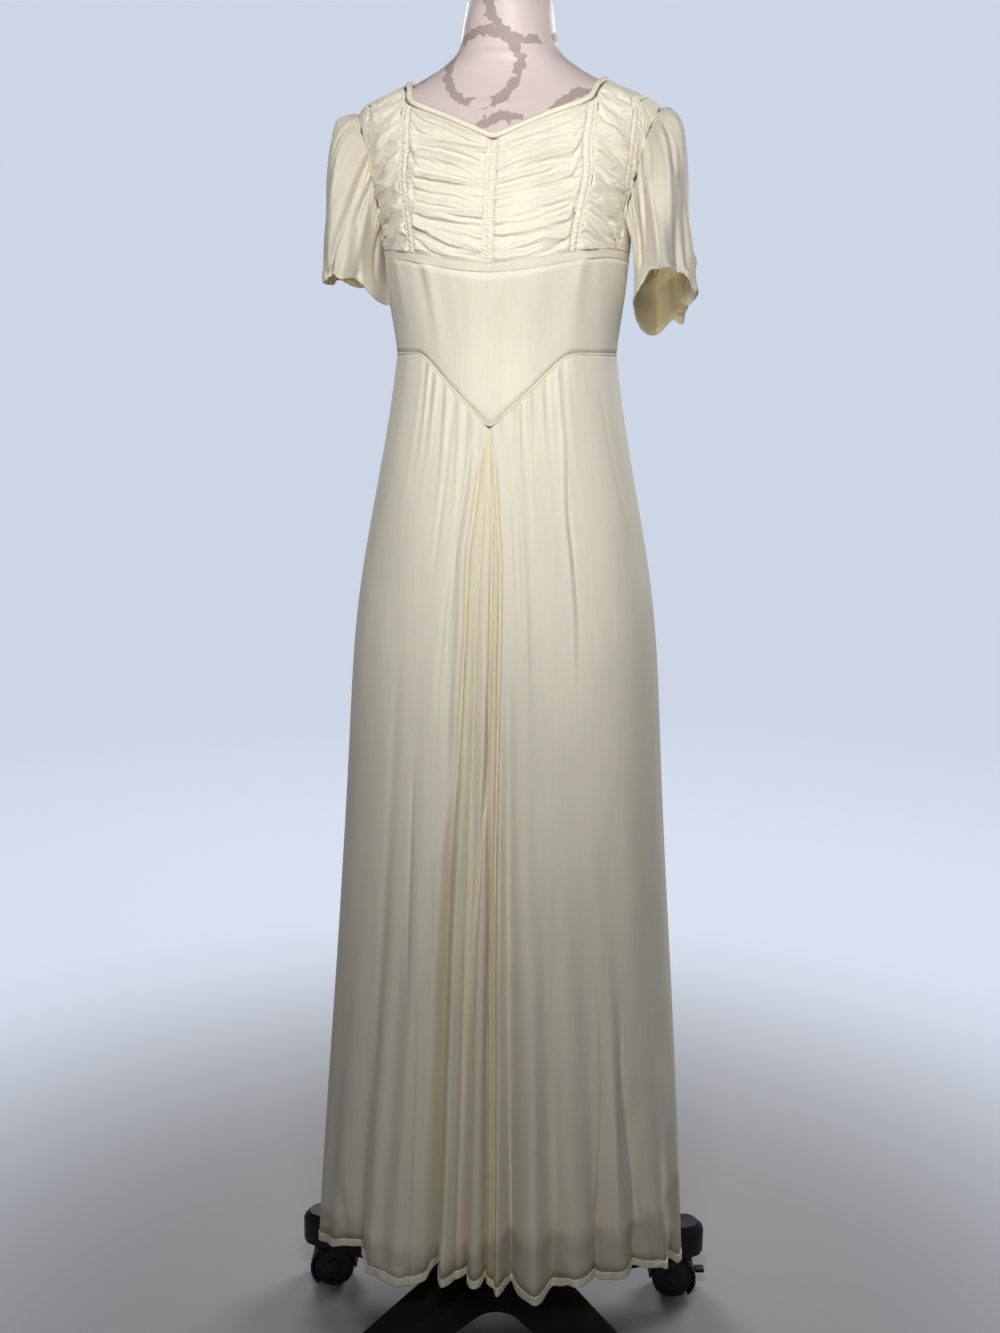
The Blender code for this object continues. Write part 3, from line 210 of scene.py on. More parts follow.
# The camera stands a little to the right of the gown, at chest height. It turns to the left, tilts
# up from straight down to just under level, and rolls a little.
CAMERA_PLACE = (0.2698, -1.7392, 1.233)
CAMERA_TURN = math.radians(9)
CAMERA_TILT = math.radians(79)
CAMERA_ROLL = math.radians(0.4)
camera_data = bpy.data.cameras.new("camera")
camera_data.sensor_fit = "VERTICAL"
camera_data.sensor_height = 36
camera_data.lens = 39.54
camera = bpy.data.objects.new("camera", camera_data)
bpy.context.scene.collection.objects.link(camera)
camera.matrix_world = (Matrix.Translation(CAMERA_PLACE) @ Matrix.Rotation(CAMERA_TURN, 4, "Z")
                       @ Matrix.Rotation(CAMERA_TILT, 4, "X") @ Matrix.Rotation(CAMERA_ROLL, 4, "Z"))
bpy.context.scene.camera = camera
bpy.context.scene.view_settings.view_transform = "Standard"

# The star base: five tapering legs, a hub and a collar in one black moulding, with the crotches
# between the legs rounded and every edge eased.
PLASTIC = (0.007, 0.007, 0.008)
PLASTIC_PALE = (0.013, 0.013, 0.014)
WELD = 0.00002              # points nearer than this are one
FLAT = math.radians(1.5)    # faces that meet at less than this are one face
SHARP = math.radians(38)    # edges that turn more than this are rounded


def stand_for(piece, node, body="dress_and_form"):
    """Puts a piece in place of its CAD node, which it hides, and on its body."""
    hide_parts(node)
    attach(piece, body)
    return piece


def eased_copy(node, name, width, made):
    """The CAD solid in flat faces again, with its sharp edges rounded."""
    bm = bmesh.new()
    bm.from_mesh(frame["nodes"][node].data)
    bmesh.ops.remove_doubles(bm, verts=bm.verts, dist=WELD)
    bmesh.ops.dissolve_limit(bm, angle_limit=FLAT, verts=bm.verts, edges=bm.edges)
    sharp = [edge for edge in bm.edges if edge.calc_face_angle(0) > SHARP]
    bmesh.ops.bevel(bm, geom=sharp, offset=width, segments=3, profile=0.5, affect="EDGES",
                    material=-1, clamp_overlap=True)
    return new_piece(name, mesh_of(bm, name), made)


black_plastic, place = new_material("black_moulded_plastic")
cloudy = place.noise(14, 4)
grain = place.noise(900, 2)
finish(black_plastic, {"Base Color": cloudy.rise(0.35, 0.7).tint(PLASTIC, PLASTIC_PALE),
                       "Roughness": 0.40 + cloudy * 0.20, "Specular IOR Level": 0.18,
                       "Normal": grain.bump(0.00006, 0.5)})
base = eased_copy("star_base", "star_base_moulding", 0.0022, black_plastic)
stand_for(base, "star_base")

# The casters: a hooded housing on a steel stem, a pair of wheels with a rounded tread, a dished
# face and a boss, and on one of them a short brake pedal.
WHEEL_RADIUS = 0.02746
WHEEL_FACES = (0.0055, 0.0215)      # inner and outer face, from the middle of the pair
AXLE_RADIUS = 0.0030
AXLE_BITE = 0.001           # how far the axle runs into each wheel
TREAD_BLACK = (0.012, 0.012, 0.013)
TREAD_SCUFFED = (0.035, 0.034, 0.033)

tread_rubber, place = new_material("caster_wheel_plastic")
scuffs = place.noise(220, 4)
finish(tread_rubber, {"Base Color": scuffs.rise(0.45, 0.75).tint(TREAD_BLACK, TREAD_SCUFFED),
                      "Roughness": 0.42 + scuffs * 0.22, "Normal": scuffs.bump(0.0001, 0.4)})


def wheel_pair(name, centre, axis, made):
    """Two wheels and their axle, turned round the axle line."""
    inner, outer = WHEEL_FACES
    r = WHEEL_RADIUS
    outline = [(inner, 0.0036), (inner, 0.62 * r), (inner + 0.0012, 0.66 * r),
               (inner + 0.0012, 0.86 * r), (inner, 0.90 * r), (inner, 0.955 * r),
               (inner + 0.0022, r), (outer - 0.0040, r), (outer - 0.0012, 0.975 * r),
               (outer - 0.0004, 0.92 * r), (outer - 0.0008, 0.86 * r), (outer - 0.0032, 0.82 * r),
               (outer - 0.0036, 0.42 * r), (outer - 0.0010, 0.36 * r), (outer, 0.28 * r),
               (outer, 0.0)]
    bm = bmesh.new()
    for side in (-1, 1):
        turned(bm, [(side * x, 0, h) for x, h in outline], (1, 0, 0), 48)
    end = inner + AXLE_BITE
    turned(bm, [(-end, 0, AXLE_RADIUS), (end, 0, AXLE_RADIUS)], (1, 0, 0), 24)
    bmesh.ops.remove_doubles(bm, verts=bm.verts, dist=WELD / 2)
    bmesh.ops.holes_fill(bm, edges=[edge for edge in bm.edges if edge.is_boundary])
    bmesh.ops.recalc_face_normals(bm, faces=bm.faces)
    turn = Vector((1, 0, 0)).rotation_difference(Vector(axis)).to_matrix().to_4x4()
    bmesh.ops.transform(bm, matrix=Matrix.Translation(centre) @ turn, verts=bm.verts)
    return new_piece(name, mesh_of(bm, name), made)


joints = {joint["name"]: joint for joint in frame["joints"]}
for number in range(1, 6):
    roll = joints[f"caster_{number}_roll"]
    node = f"caster_housing_{number}"
    housing = eased_copy(node, f"caster_hood_{number}", 0.0007, black_plastic)
    stand_for(housing, node, f"caster_{number}")
    wheels = wheel_pair(f"caster_wheel_pair_{number}", roll["pos_m"], roll["axis"], tread_rubber)
    stand_for(wheels, f"caster_wheels_{number}", f"wheels_{number}")
pedal = eased_copy("brake_pedal", "brake_pedal_tab", 0.0012, black_plastic)
stand_for(pedal, "brake_pedal", "brake")

# The post: a black painted tube that stands in the collar and carries the form, and the form's
# flat neck cap. Both keep their CAD shape, with rounded edges.
POST_BLACK = (0.022, 0.022, 0.024)
POST_WORN = (0.05, 0.05, 0.05)
post_paint, place = new_material("post_paint")
worn = place.noise(60, 4, (1, 1, 0.2))
finish(post_paint, {"Base Color": worn.rise(0.5, 0.8).tint(POST_BLACK, POST_WORN),
                    "Roughness": 0.28 + worn * 0.2, "Metallic": 0.3,
                    "Normal": worn.bump(0.0001, 0.3)})
post = eased_copy("form_post", "form_post_tube", 0.0010, post_paint)
stand_for(post, "form_post")
cap = eased_copy("neck_cap", "neck_cap_disc", 0.0010, black_plastic)
stand_for(cap, "neck_cap")

# The padded form: a torso and neck under a stretched satin cover, pale pink with taupe bands of
# woven net. The cover is drawn into small wrinkles round the foot of the neck.
SATIN_PINK = (0.66, 0.55, 0.53)
NET_TAUPE = (0.33, 0.255, 0.23)
WALL = 0.0012               # of the crepe
BODICE_MIDDLE = Vector((0, 0, 1.30))
ANY_ANGLE = 3.1             # triangles join into quads whatever their angle
RIM_ANGLE = 0.8             # an edge within a rim that turns more than this stays square


def rounded_mesh(node, level, rim=0.0, spread=0.00018, even=False):
    """The CAD solid's quads, subdivided; a wall's thin rim stays square and closes on its seam.
    Where even is true, the wall first gets one thickness all over, and its relief comes later."""
    bm = bmesh.new()
    bm.from_mesh(frame["nodes"][node].data)
    bmesh.ops.remove_doubles(bm, verts=bm.verts, dist=WELD)
    bmesh.ops.join_triangles(bm, faces=bm.faces, angle_face_threshold=ANY_ANGLE,
                             angle_shape_threshold=ANY_ANGLE)
    crease = bm.edges.layers.float.new("crease_edge")
    bm.normal_update()
    thin = {face for face in bm.faces if sum(edge.calc_length() < rim for edge in face.edges) > 1}
    for edge in bm.edges:
        beside = sum(face in thin for face in edge.link_faces)
        if beside == 1 or beside == 2 and edge.calc_face_angle(0) > RIM_ANGLE:
            edge[crease] = 1.0
    pushes = {}
    for face in thin:
        for vert in face.verts:
            pushes[vert] = pushes.get(vert, Vector()) + face.normal
    for vert, push in pushes.items():
        vert.co += push.normalized() * spread
    if even:
        outer = {vert for face in bm.faces if face not in thin and face.normal.dot(
            face.calc_center_median() - BODICE_MIDDLE) > 0 for vert in face.verts}
        inner = [vert for vert in bm.verts if vert not in outer]
        under = KDTree(len(inner))
        for index, vert in enumerate(inner):
            under.insert(vert.co, index)
        under.balance()
        for vert in outer:
            foot = under.find(vert.co)[0]
            vert.co = foot + (vert.co - foot).normalized() * WALL
    mesh = bpy.data.meshes.new(node)
    bm.to_mesh(mesh)
    bm.free()
    shape = bpy.data.objects.new(node, mesh)
    bpy.context.scene.collection.objects.link(shape)
    soft = shape.modifiers.new("rounding", "SUBSURF")
    soft.levels = soft.render_levels = level
    graph = bpy.context.evaluated_depsgraph_get()
    made = bpy.data.meshes.new_from_object(shape.evaluated_get(graph))
    bpy.data.objects.remove(shape)
    made.shade_smooth()
    return made


def places_of(mesh):
    """The mesh's points as rows of x, y, z."""
    flat = np.empty(3 * len(mesh.vertices))
    mesh.vertices.foreach_get("co", flat)
    return flat.reshape(-1, 3)


def move_to(mesh, points):
    mesh.vertices.foreach_set("co", points.ravel())
    mesh.update()


def outward(points, narrow=1.0):
    """Level directions out from the middle of the figure, less sideways where it is wide."""
    away = points * (narrow, 1.0, 0.0)
    return away / np.maximum(np.linalg.norm(away, axis=1, keepdims=True), 1e-6)


def creases(across, height, rows):
    """Relief of soft creases. A row holds one end, the other end, how far its middle bows out, its
    height (a trough is negative), its half width, and whether it starts at a seam at full height."""
    total = np.zeros(len(across))
    for x0, z0, x1, z1, bow, rise, half, held in rows:
        run_x, run_z = x1 - x0, z1 - z0
        length = math.hypot(run_x, run_z)
        along = ((across - x0) * run_x + (height - z0) * run_z) / length ** 2
        aside = ((height - z0) * run_x - (across - x0) * run_z) / length
        inside = np.clip(along, 0, 1)
        middle = 4 * inside * (1 - inside)
        off = aside - bow * middle
        beyond = (along - inside) * length
        fade = (1 - inside) ** 0.8 if held else np.sqrt(middle)
        total += rise * fade * np.exp(-(off / half) ** 2 - (beyond / half) ** 2)
    return total


# Wrinkles of the cover round the neck, by distance across and height.
COVER_WRINKLES = [
    (-0.04, 1.592, 0.038, 1.59, -0.003, 0.0022, 0.0035, False),
    (-0.02, 1.584, 0.046, 1.588, -0.002, -0.0012, 0.003, False),
    (-0.046, 1.58, 0.01, 1.578, -0.003, 0.0014, 0.0035, False),
    (0.0, 1.6, 0.044, 1.604, -0.002, 0.0012, 0.003, False),
    (-0.052, 1.597, -0.006, 1.601, 0.003, 0.0024, 0.003, False),
    (-0.05, 1.608, -0.016, 1.606, 0.002, -0.0012, 0.003, False),
    (-0.034, 1.536, 0.03, 1.533, -0.003, 0.0016, 0.003, False),
    (-0.05, 1.545, -0.012, 1.543, 0.003, 0.001, 0.003, False),
    (-0.03, 1.56, -0.004, 1.538, 0.002, 0.001, 0.004, False),
    (0.02, 1.556, 0.036, 1.53, 0.002, 0.001, 0.004, False),
]
# Rings of the net: their middle across and in height, and their outer radius.
NET_RINGS = [
    (-0.021, 1.573, 0.05), (-0.096, 1.482, 0.052), (0.101, 1.505, 0.051), (0.008, 1.48, 0.044),
    (0.028, 1.646, 0.052), (-0.12, 1.592, 0.045), (0.115, 1.6, 0.03),
]
SCALLOP_SCALE = 130.0       # to the metre
SCALLOP_DEPTH = 0.009
NECK_SEAM = 1.580           # height of the seam round the foot of the neck
NECK_STEP = 0.0012          # how far the neck's cover stands out above its seam
NECK_TOP = 1.66             # height where it is flush again under the cap
cover, place = new_material("form_cover_satin")
flat = place.add("ShaderNodeVectorMath", {"operation": "MULTIPLY"}, {0: place, 1: (1, 0, 1)})
scallops = flat.add("ShaderNodeTexVoronoi", {"feature": "F1"},
                    {"Vector": flat, "Scale": SCALLOP_SCALE, "Randomness": 0.8}, "Distance")
gaps = place.noise(22, 1)
lace = gaps * 0
for ring_x, ring_z, radius in NET_RINGS:
    away = flat.add("ShaderNodeVectorMath", {"operation": "DISTANCE"},
                    {0: flat, 1: (ring_x, 0, ring_z)}, "Value")
    edge = away + scallops * SCALLOP_DEPTH
    inside = edge.rise(radius - 0.010, radius - 0.009)
    beyond = edge.rise(radius + 0.001, radius + 0.002)
    lace = lace.maths("MAXIMUM", lace, inside * (1 - beyond) * gaps.rise(0.38, 0.41))
mesh_lines = place.add("ShaderNodeTexWave", {"wave_type": "BANDS", "bands_direction": "DIAGONAL"},
                       {"Vector": place, "Scale": 190.0, "Distortion": 0.6}, "Fac")
shine = place.noise(30, 3)
finish(cover, {"Base Color": (lace * (0.62 + mesh_lines * 0.38)).tint(SATIN_PINK, NET_TAUPE),
               "Roughness": 0.36 + shine * 0.2 + lace * 0.2, "Specular IOR Level": 0.35,
               "Normal": (shine * 0.8 + mesh_lines * lace * 0.2).bump(0.0012, 0.35),
               "Sheen Weight": 0.05, "Coat Weight": 0.08, "Coat Roughness": 0.38})
mesh = rounded_mesh("form_torso", 2)
points = places_of(mesh)
front = points[:, 1] < 0.01
relief = creases(points[:, 0], points[:, 2], COVER_WRINKLES) * front
below_seam = np.minimum((NECK_SEAM - points[:, 2]) / 0.0008, 40)
neck_step = NECK_STEP / (1 + np.exp(below_seam))
relief += neck_step * np.clip((NECK_TOP - points[:, 2]) / 0.05, 0, 1)
points += outward(points) * relief[:, None]
move_to(mesh, points)
torso = new_piece("form_cover", mesh, cover)
stand_for(torso, "form_torso")

# The bust: ruched crepe panels between shirred channels at centre front, on the princess lines
# and near the armholes. Each channel has a row of gathering stitches along both its edges.
IVORY = (0.865, 0.782, 0.618)
IVORY_SHADE = (0.785, 0.717, 0.575)
# Colour of the painted shading: on the skirt a darker, yellower painted shade in fold troughs and a
# yellow painted light between the deep folds; on the sleeves, painted light inside.
PAINTED_SHADING_TINT = (0.83, 0.71, 0.45)


def crepe_material(name, light, dark, sheer=False):
    """Matt crepe chiffon: crinkled yarn, faint slubs that hang downward, and a soft bloom. A point
    attribute tints it yellowish as painted shading: painted shade in fold troughs, painted light
    between deep folds and inside the sleeves. A sheer one is opaque where "lined" is 1."""
    made, place = new_material(name)
    clouds = place.noise(5, 3)
    streaks = place.noise(30, 2, (1, 1, 0.10))
    slubs = place.noise(300, 2, (1, 1, 0.05))
    crinkle = place.noise(1300, 2)
    yarn = place.noise(700, 1, (1, 1, 0.3))
    tone = clouds * 0.35 + streaks * 0.35 + slubs * 0.15 + crinkle * 0.15
    ivory = tone.rise(0.41, 0.59).tint(dark, light)
    values = {"Roughness": 0.70 + clouds * 0.16,
              "Normal": (crinkle * 0.5 + yarn * 0.3 + slubs * 0.4).bump(0.0005, 0.7),
              "Sheen Weight": 0.20, "Sheen Roughness": 0.45, "Specular IOR Level": 0.30,
              "Subsurface Weight": 0.35, "Subsurface Radius": (1.0, 0.80, 0.55),
              "Subsurface Scale": 0.0045}
    # Painted shading: a point attribute mixes the crepe toward the painted shading colour.
    painted_shading = place.add("ShaderNodeAttribute", {"attribute_name": "painted_shading"}, None, "Fac")
    values["Base Color"] = (painted_shading * 0.9).tint(ivory, PAINTED_SHADING_TINT)
    if sheer:
        lined = place.add("ShaderNodeAttribute", {"attribute_name": "lined"}, None, "Fac")
        values["Alpha"] = 0.60 + lined * 0.40
    finish(made, values)
    return made


crepe = crepe_material("ivory_crepe", IVORY, IVORY_SHADE)


def cloth_piece(node, mesh, made):
    """A crepe piece that stands for its CAD wall and hangs on the form."""
    return stand_for(new_piece("crepe_" + node, mesh, made), node)


def edges_of(key, value, bins=18):
    """Lowest and highest value over steps of the key, as two curves of it."""
    steps = np.linspace(key.min(), key.max(), bins + 1)
    at = np.clip(np.digitize(key, steps) - 1, 0, bins - 1)
    middles = (steps[1:] + steps[:-1]) / 2
    filled = [i for i in range(bins) if (at == i).any()]
    low = [value[at == i].min() for i in filled]
    high = [value[at == i].max() for i in filled]
    return np.interp(key, middles[filled], low), np.interp(key, middles[filled], high)


def panel_places(points):
    """Shares across a bust panel from its inner seam, and up it from the under-bust band."""
    across = np.abs(points[:, 0])
    low, high = edges_of(points[:, 2], across)
    u = np.clip((across - low) / np.maximum(high - low, 1e-5), 0, 1)
    low, high = edges_of(across, points[:, 2])
    v = np.clip((points[:, 2] - low) / np.maximum(high - low, 1e-5), 0, 1)
    return u, v


def puckers(height, step, phase):
    """Uneven small gathers along a line of stitches, from -1 to 1."""
    turn = math.tau * height / step
    wander = 1.6 * np.sin(turn * 0.173 + phase)
    return 0.6 * np.sin(turn + phase + wander) + 0.4 * np.sin(1.63 * turn + 2 * phase)


# Ruched folds by panel, in shares: across and up at both ends, bow, height, half width, held.
BUST_CREASES = {
    "bust_centre_left": [
        (0.0, 0.92, 1.0, 0.78, 0.01, -0.0022, 0.016, False),
        (0.0, 0.875, 0.9, 0.74, 0.01, 0.002, 0.022, True),
        (0.0, 0.79, 1.0, 0.71, 0.012, -0.0026, 0.016, False),
        (0.05, 0.74, 1.0, 0.655, 0.0, 0.0018, 0.02, False),
        (0.0, 0.624, 1.0, 0.567, -0.01, -0.0032, 0.015, False),
        (0.0, 0.6, 0.95, 0.53, 0.0, 0.0022, 0.018, False),
        (0.05, 0.577, 1.0, 0.496, -0.01, -0.003, 0.014, False),
        (0.2, 0.455, 1.0, 0.423, 0.0, -0.0018, 0.015, False),
        (0.0, 0.402, 1.0, 0.337, -0.012, -0.002, 0.015, False),
        (0.0, 0.36, 0.8, 0.3, 0.0, 0.002, 0.02, True),
        (0.0, 0.285, 1.0, 0.26, -0.015, -0.0018, 0.014, False),
        (1.0, 0.173, 0.3, 0.08, 0.02, -0.0034, 0.018, True),
        (1.0, 0.21, 0.45, 0.16, 0.02, 0.0022, 0.02, True),
        (1.0, 0.1, 0.62, 0.02, 0.01, -0.0026, 0.016, True),
        (0.0, 0.17, 0.5, 0.13, 0.0, -0.0016, 0.014, True),
        (0.0, 0.09, 0.4, 0.07, 0.0, 0.0014, 0.016, True),
        (1.0, 0.865, 0.45, 0.93, 0.0, -0.0016, 0.014, True),
    ],
    "bust_centre_right": [
        (0.3, 0.93, 0.62, 0.9, 0.0, -0.0024, 0.014, False),
        (0.0, 0.88, 0.55, 0.87, 0.0, -0.002, 0.015, True),
        (0.45, 0.66, 1.0, 0.6, 0.01, -0.0034, 0.013, False),
        (0.0, 0.72, 1.0, 0.665, 0.012, 0.0024, 0.022, False),
        (0.0, 0.8, 1.0, 0.76, 0.015, -0.0016, 0.014, False),
        (0.0, 0.6, 1.0, 0.545, 0.01, -0.002, 0.014, False),
        (0.0, 0.5, 1.0, 0.44, 0.01, -0.0016, 0.014, False),
        (0.0, 0.55, 0.8, 0.5, 0.0, 0.0018, 0.02, True),
        (1.0, 0.4, 0.2, 0.37, 0.0, -0.0014, 0.013, True),
        (1.0, 0.32, 0.15, 0.26, 0.012, -0.0018, 0.014, True),
        (1.0, 0.25, 0.3, 0.2, 0.01, 0.002, 0.02, True),
        (1.0, 0.1, 0.62, 0.03, 0.015, -0.0034, 0.017, True),
        (0.0, 0.19, 0.45, 0.17, 0.0, -0.0018, 0.015, True),
        (0.0, 0.1, 0.35, 0.085, 0.0, 0.0016, 0.017, True),
        (0.0, 0.31, 0.4, 0.3, 0.0, 0.0014, 0.016, True),
    ],
    "bust_side_left": [
        (0.0, 0.8, 1.0, 0.74, 0.0, -0.0016, 0.014, False),
        (1.0, 0.62, 0.1, 0.66, 0.0, -0.0022, 0.015, True),
        (1.0, 0.56, 0.0, 0.58, 0.01, 0.0018, 0.02, True),
        (1.0, 0.47, 0.2, 0.5, 0.0, -0.002, 0.016, True),
        (0.0, 0.41, 0.8, 0.42, 0.0, -0.0014, 0.014, True),
        (1.0, 0.3, 0.0, 0.33, 0.01, -0.0024, 0.017, False),
        (1.0, 0.22, 0.1, 0.27, 0.0, 0.002, 0.022, True),
        (0.0, 0.17, 1.0, 0.1, 0.02, -0.0026, 0.016, False),
        (0.0, 0.1, 0.7, 0.04, 0.0, 0.0016, 0.018, True),
    ],
    "bust_side_right": [
        (0.0, 0.86, 0.8, 0.8, 0.0, -0.0014, 0.014, True),
        (1.0, 0.66, 0.2, 0.72, 0.0, -0.0016, 0.014, True),
        (0.0, 0.61, 1.0, 0.55, 0.0, -0.0014, 0.014, False),
        (0.0, 0.5, 0.9, 0.46, 0.0, 0.0016, 0.022, True),
        (0.0, 0.345, 1.0, 0.255, 0.035, -0.0036, 0.013, False),
        (0.1, 0.3, 1.0, 0.21, 0.03, 0.0022, 0.018, False),
        (0.0, 0.19, 1.0, 0.09, 0.03, -0.0034, 0.013, False),
        (0.0, 0.13, 0.8, 0.06, 0.0, 0.0018, 0.018, True),
        (0.0, 0.42, 0.7, 0.38, 0.0, -0.0014, 0.014, True),
    ],
    "bust_armhole_left": [
        (0.0, 0.7, 1.0, 0.66, 0.0, -0.001, 0.02, True),
        (0.0, 0.45, 1.0, 0.42, 0.0, -0.001, 0.02, True),
    ],
    "bust_armhole_right": [
        (0.0, 0.62, 1.0, 0.58, 0.0, -0.001, 0.02, True),
        (0.0, 0.35, 1.0, 0.31, 0.0, -0.001, 0.02, True),
    ],
}
# By kind of panel: growth of its creases and of its puffs, height of the gathers at its seams, and
# the share of its width over which it dips to them.
PANEL_KINDS = {
    "centre": (1.8, 1.15, 0.0012, 0.05),
    "side": (2.1, 1.6, 0.0008, 0.10),
    "armhole": (2.1, 0.6, 0.0008, 0.10),
}
PUFFS = 12                  # to the height of the bust
FINE_WRINKLES = 44          # half waves over the same height
BUST_FOOT = 1.358           # height of the under-bust seam at the sides
BUST_HEIGHT = 0.190
DEEPEST, HIGHEST = -0.0014, 0.0098  # limits of a panel's relief
for node, rows in BUST_CREASES.items():
    kind = node.split("_")[1]
    crease_growth, puff_growth, gather, seam_share = PANEL_KINDS[kind]
    mesh = rounded_mesh(node, 3, 0.0045, even=True)
    points = places_of(mesh)
    u, v = panel_places(points)
    ends = np.clip(np.minimum(v, 1 - v) / 0.03, 0, 1)
    if kind != "centre":
        v = (points[:, 2] - BUST_FOOT) / BUST_HEIGHT + 0.10 * u
        ends = np.clip(v / 0.04, 0, 1)
    relief = crease_growth * creases(u, v, rows)
    number = np.floor(PUFFS * v)
    wander = 0.010 * np.sin(6 * u + 1.7 * number) + 0.006 * np.sin(15 * u + number)
    puff = np.abs(np.sin(PUFFS * math.pi * (v + wander))) ** 0.6
    uneven = 0.62 + 0.38 * np.sin(2.4 * number + 4.1 * u + len(rows))
    relief += (0.0034 * puff * uneven - 0.0006) * puff_growth
    wavy = 3 * np.sin(5 * u + number)
    relief += 0.0005 * np.sin(FINE_WRINKLES * math.pi * (v + 1.4 * wander) + wavy)
    near = np.exp(-u / 0.12) + np.exp(-(1 - u) / 0.12)
    relief += gather * near * puckers(points[:, 2] + 0.004 * u, 0.0064, len(rows))
    seam = np.clip(np.minimum(u, 1 - u) / seam_share, 0, 1) ** 0.6
    relief = np.clip(relief, DEEPEST, HIGHEST) * ends * (0.12 + 0.88 * seam)
    points += outward(points) * relief[:, None]
    move_to(mesh, points)
    cloth_piece(node, mesh, crepe)

# The shirred channels: a row of small gathers, sunk along a line of stitches at both edges.
for number, node in enumerate(("shirred_channel_centre", "shirred_channel_princess_left",
                               "shirred_channel_princess_right", "shirred_channel_outer_left",
                               "shirred_channel_outer_right")):
    mesh = rounded_mesh(node, 3, 0.0045, even=True)
    points = places_of(mesh)
    low, high = edges_of(points[:, 2], points[:, 0])
    u = (points[:, 0] - low) / np.maximum(high - low, 1e-5)
    rows_apart = points[:, 2] + 0.0024 * (u > 0.5) + 0.0016 * np.sin(90 * points[:, 2] + number)
    relief = 0.0005 + 0.0009 * puckers(rows_apart + 0.001 * u, 0.0058, number)
    relief += 0.0006 * puckers(rows_apart + 0.003 * u, 0.0033, 3 * number)
    relief -= 0.0013 * (np.exp(-((u - 0.22) / 0.10) ** 2) + np.exp(-((u - 0.78) / 0.10) ** 2))
    relief *= np.clip(np.minimum(u, 1 - u) / 0.08, 0, 1)
    points += outward(points) * np.maximum(relief, -0.0010)[:, None]
    move_to(mesh, points)
    cloth_piece(node, mesh, crepe)

# The under-bust band, the pointed midriff, and the plain back: smooth crepe with faint hanging
# creases, sewn to the band above and piped into the waist seam below.
# Creases of the midriff's front and of the back, by distance across and height.
MIDRIFF_CREASES = [
    (-0.074, 1.372, -0.058, 1.262, 0.003, 0.0014, 0.0055, True),
    (-0.084, 1.37, -0.072, 1.275, 0.002, -0.0008, 0.005, True),
    (-0.036, 1.358, -0.03, 1.23, 0.002, -0.0005, 0.006, True),
    (0.02, 1.358, 0.018, 1.24, 0.001, 0.0006, 0.005, True),
    (0.052, 1.36, 0.044, 1.262, 0.002, 0.0007, 0.006, True),
    (0.098, 1.37, 0.088, 1.285, -0.002, 0.0012, 0.005, True),
    (0.11, 1.368, 0.101, 1.28, -0.002, -0.0007, 0.0045, True),
    (-0.112, 1.366, -0.102, 1.285, 0.002, 0.0009, 0.005, True),
    (0.076, 1.272, 0.036, 1.228, 0.004, -0.0006, 0.005, False),
    (-0.076, 1.272, -0.034, 1.226, -0.004, -0.0006, 0.005, False),
]
BACK_CREASES = [
    (-0.085, 1.335, -0.06, 1.45, 0.0, 0.0014, 0.009, True),
    (0.085, 1.335, 0.06, 1.45, 0.0, 0.0012, 0.009, True),
    (-0.03, 1.335, -0.02, 1.42, 0.0, -0.001, 0.007, True),
    (0.04, 1.335, 0.026, 1.43, 0.0, -0.001, 0.007, True),
    (-0.12, 1.4, -0.05, 1.47, 0.004, -0.001, 0.008, False),
    (0.12, 1.41, 0.055, 1.48, -0.004, 0.0012, 0.008, False),
    (-0.06, 1.335, -0.045, 1.268, 0.0, 0.0008, 0.006, True),
    (0.06, 1.335, 0.045, 1.268, 0.0, 0.0008, 0.006, True),
]
# How far the creases stand out beyond their tables, and the step of the crepe's own faint waves.
CREASE_GROWTH = 2.1
WAVE_STEP = 0.0090
for node, level, rows in (("under_bust_band", 3, []), ("midriff_front", 2, MIDRIFF_CREASES),
                          ("midriff_back", 2, BACK_CREASES), ("back_panel_left", 2, BACK_CREASES),
                          ("back_panel_right", 2, BACK_CREASES)):
    mesh = rounded_mesh(node, level, 0.0022, even=node == "under_bust_band")
    points = places_of(mesh)
    relief = CREASE_GROWTH * creases(points[:, 0], points[:, 2], rows)
    relief += 0.00016 * puckers(points[:, 0], WAVE_STEP, 1.0)
    points += outward(points) * relief[:, None]
    move_to(mesh, points)
    cloth_piece(node, mesh, crepe)

# The corded edges, each with how much rounder it gets and how far it moves out.
for node, growth, shift in (("neck_binding", 0.0013, -0.0013),
                            ("waist_piping_front", 0.0007, -0.0002),
                            ("waist_piping_back", 0.0007, -0.0002)):
    mesh = rounded_mesh(node, 2)
    normals = np.array([vert.normal for vert in mesh.vertices])
    points = places_of(mesh)
    points += growth * normals + shift * outward(points)
    if node == "waist_piping_front":
        points[:, 2] -= 0.0012 * np.exp(-(points[:, 0] / 0.007) ** 2)
    move_to(mesh, points)
    cloth_piece(node, mesh, crepe)

# The skirt: a flared front and back, gathered into the waist seam on both sides of the point,
# with deep folds that fan out from the point, and a narrow turned hem.
WAIST_HEIGHT = 1.2645
POINT_DROP = 0.0815         # from the waist to the point of the midriff
POINT_HALF_WIDTH = 0.082
# Half width of the skirt, by height.
SKIRT_WIDTHS = [
    (0.06, 0.237), (0.28, 0.2285), (0.52, 0.2115), (0.785, 0.1915), (0.887, 0.188), (0.985, 0.18),
    (1.046, 0.168), (1.118, 0.1505), (1.166, 0.141), (1.227, 0.1325), (1.263, 0.1275),
]
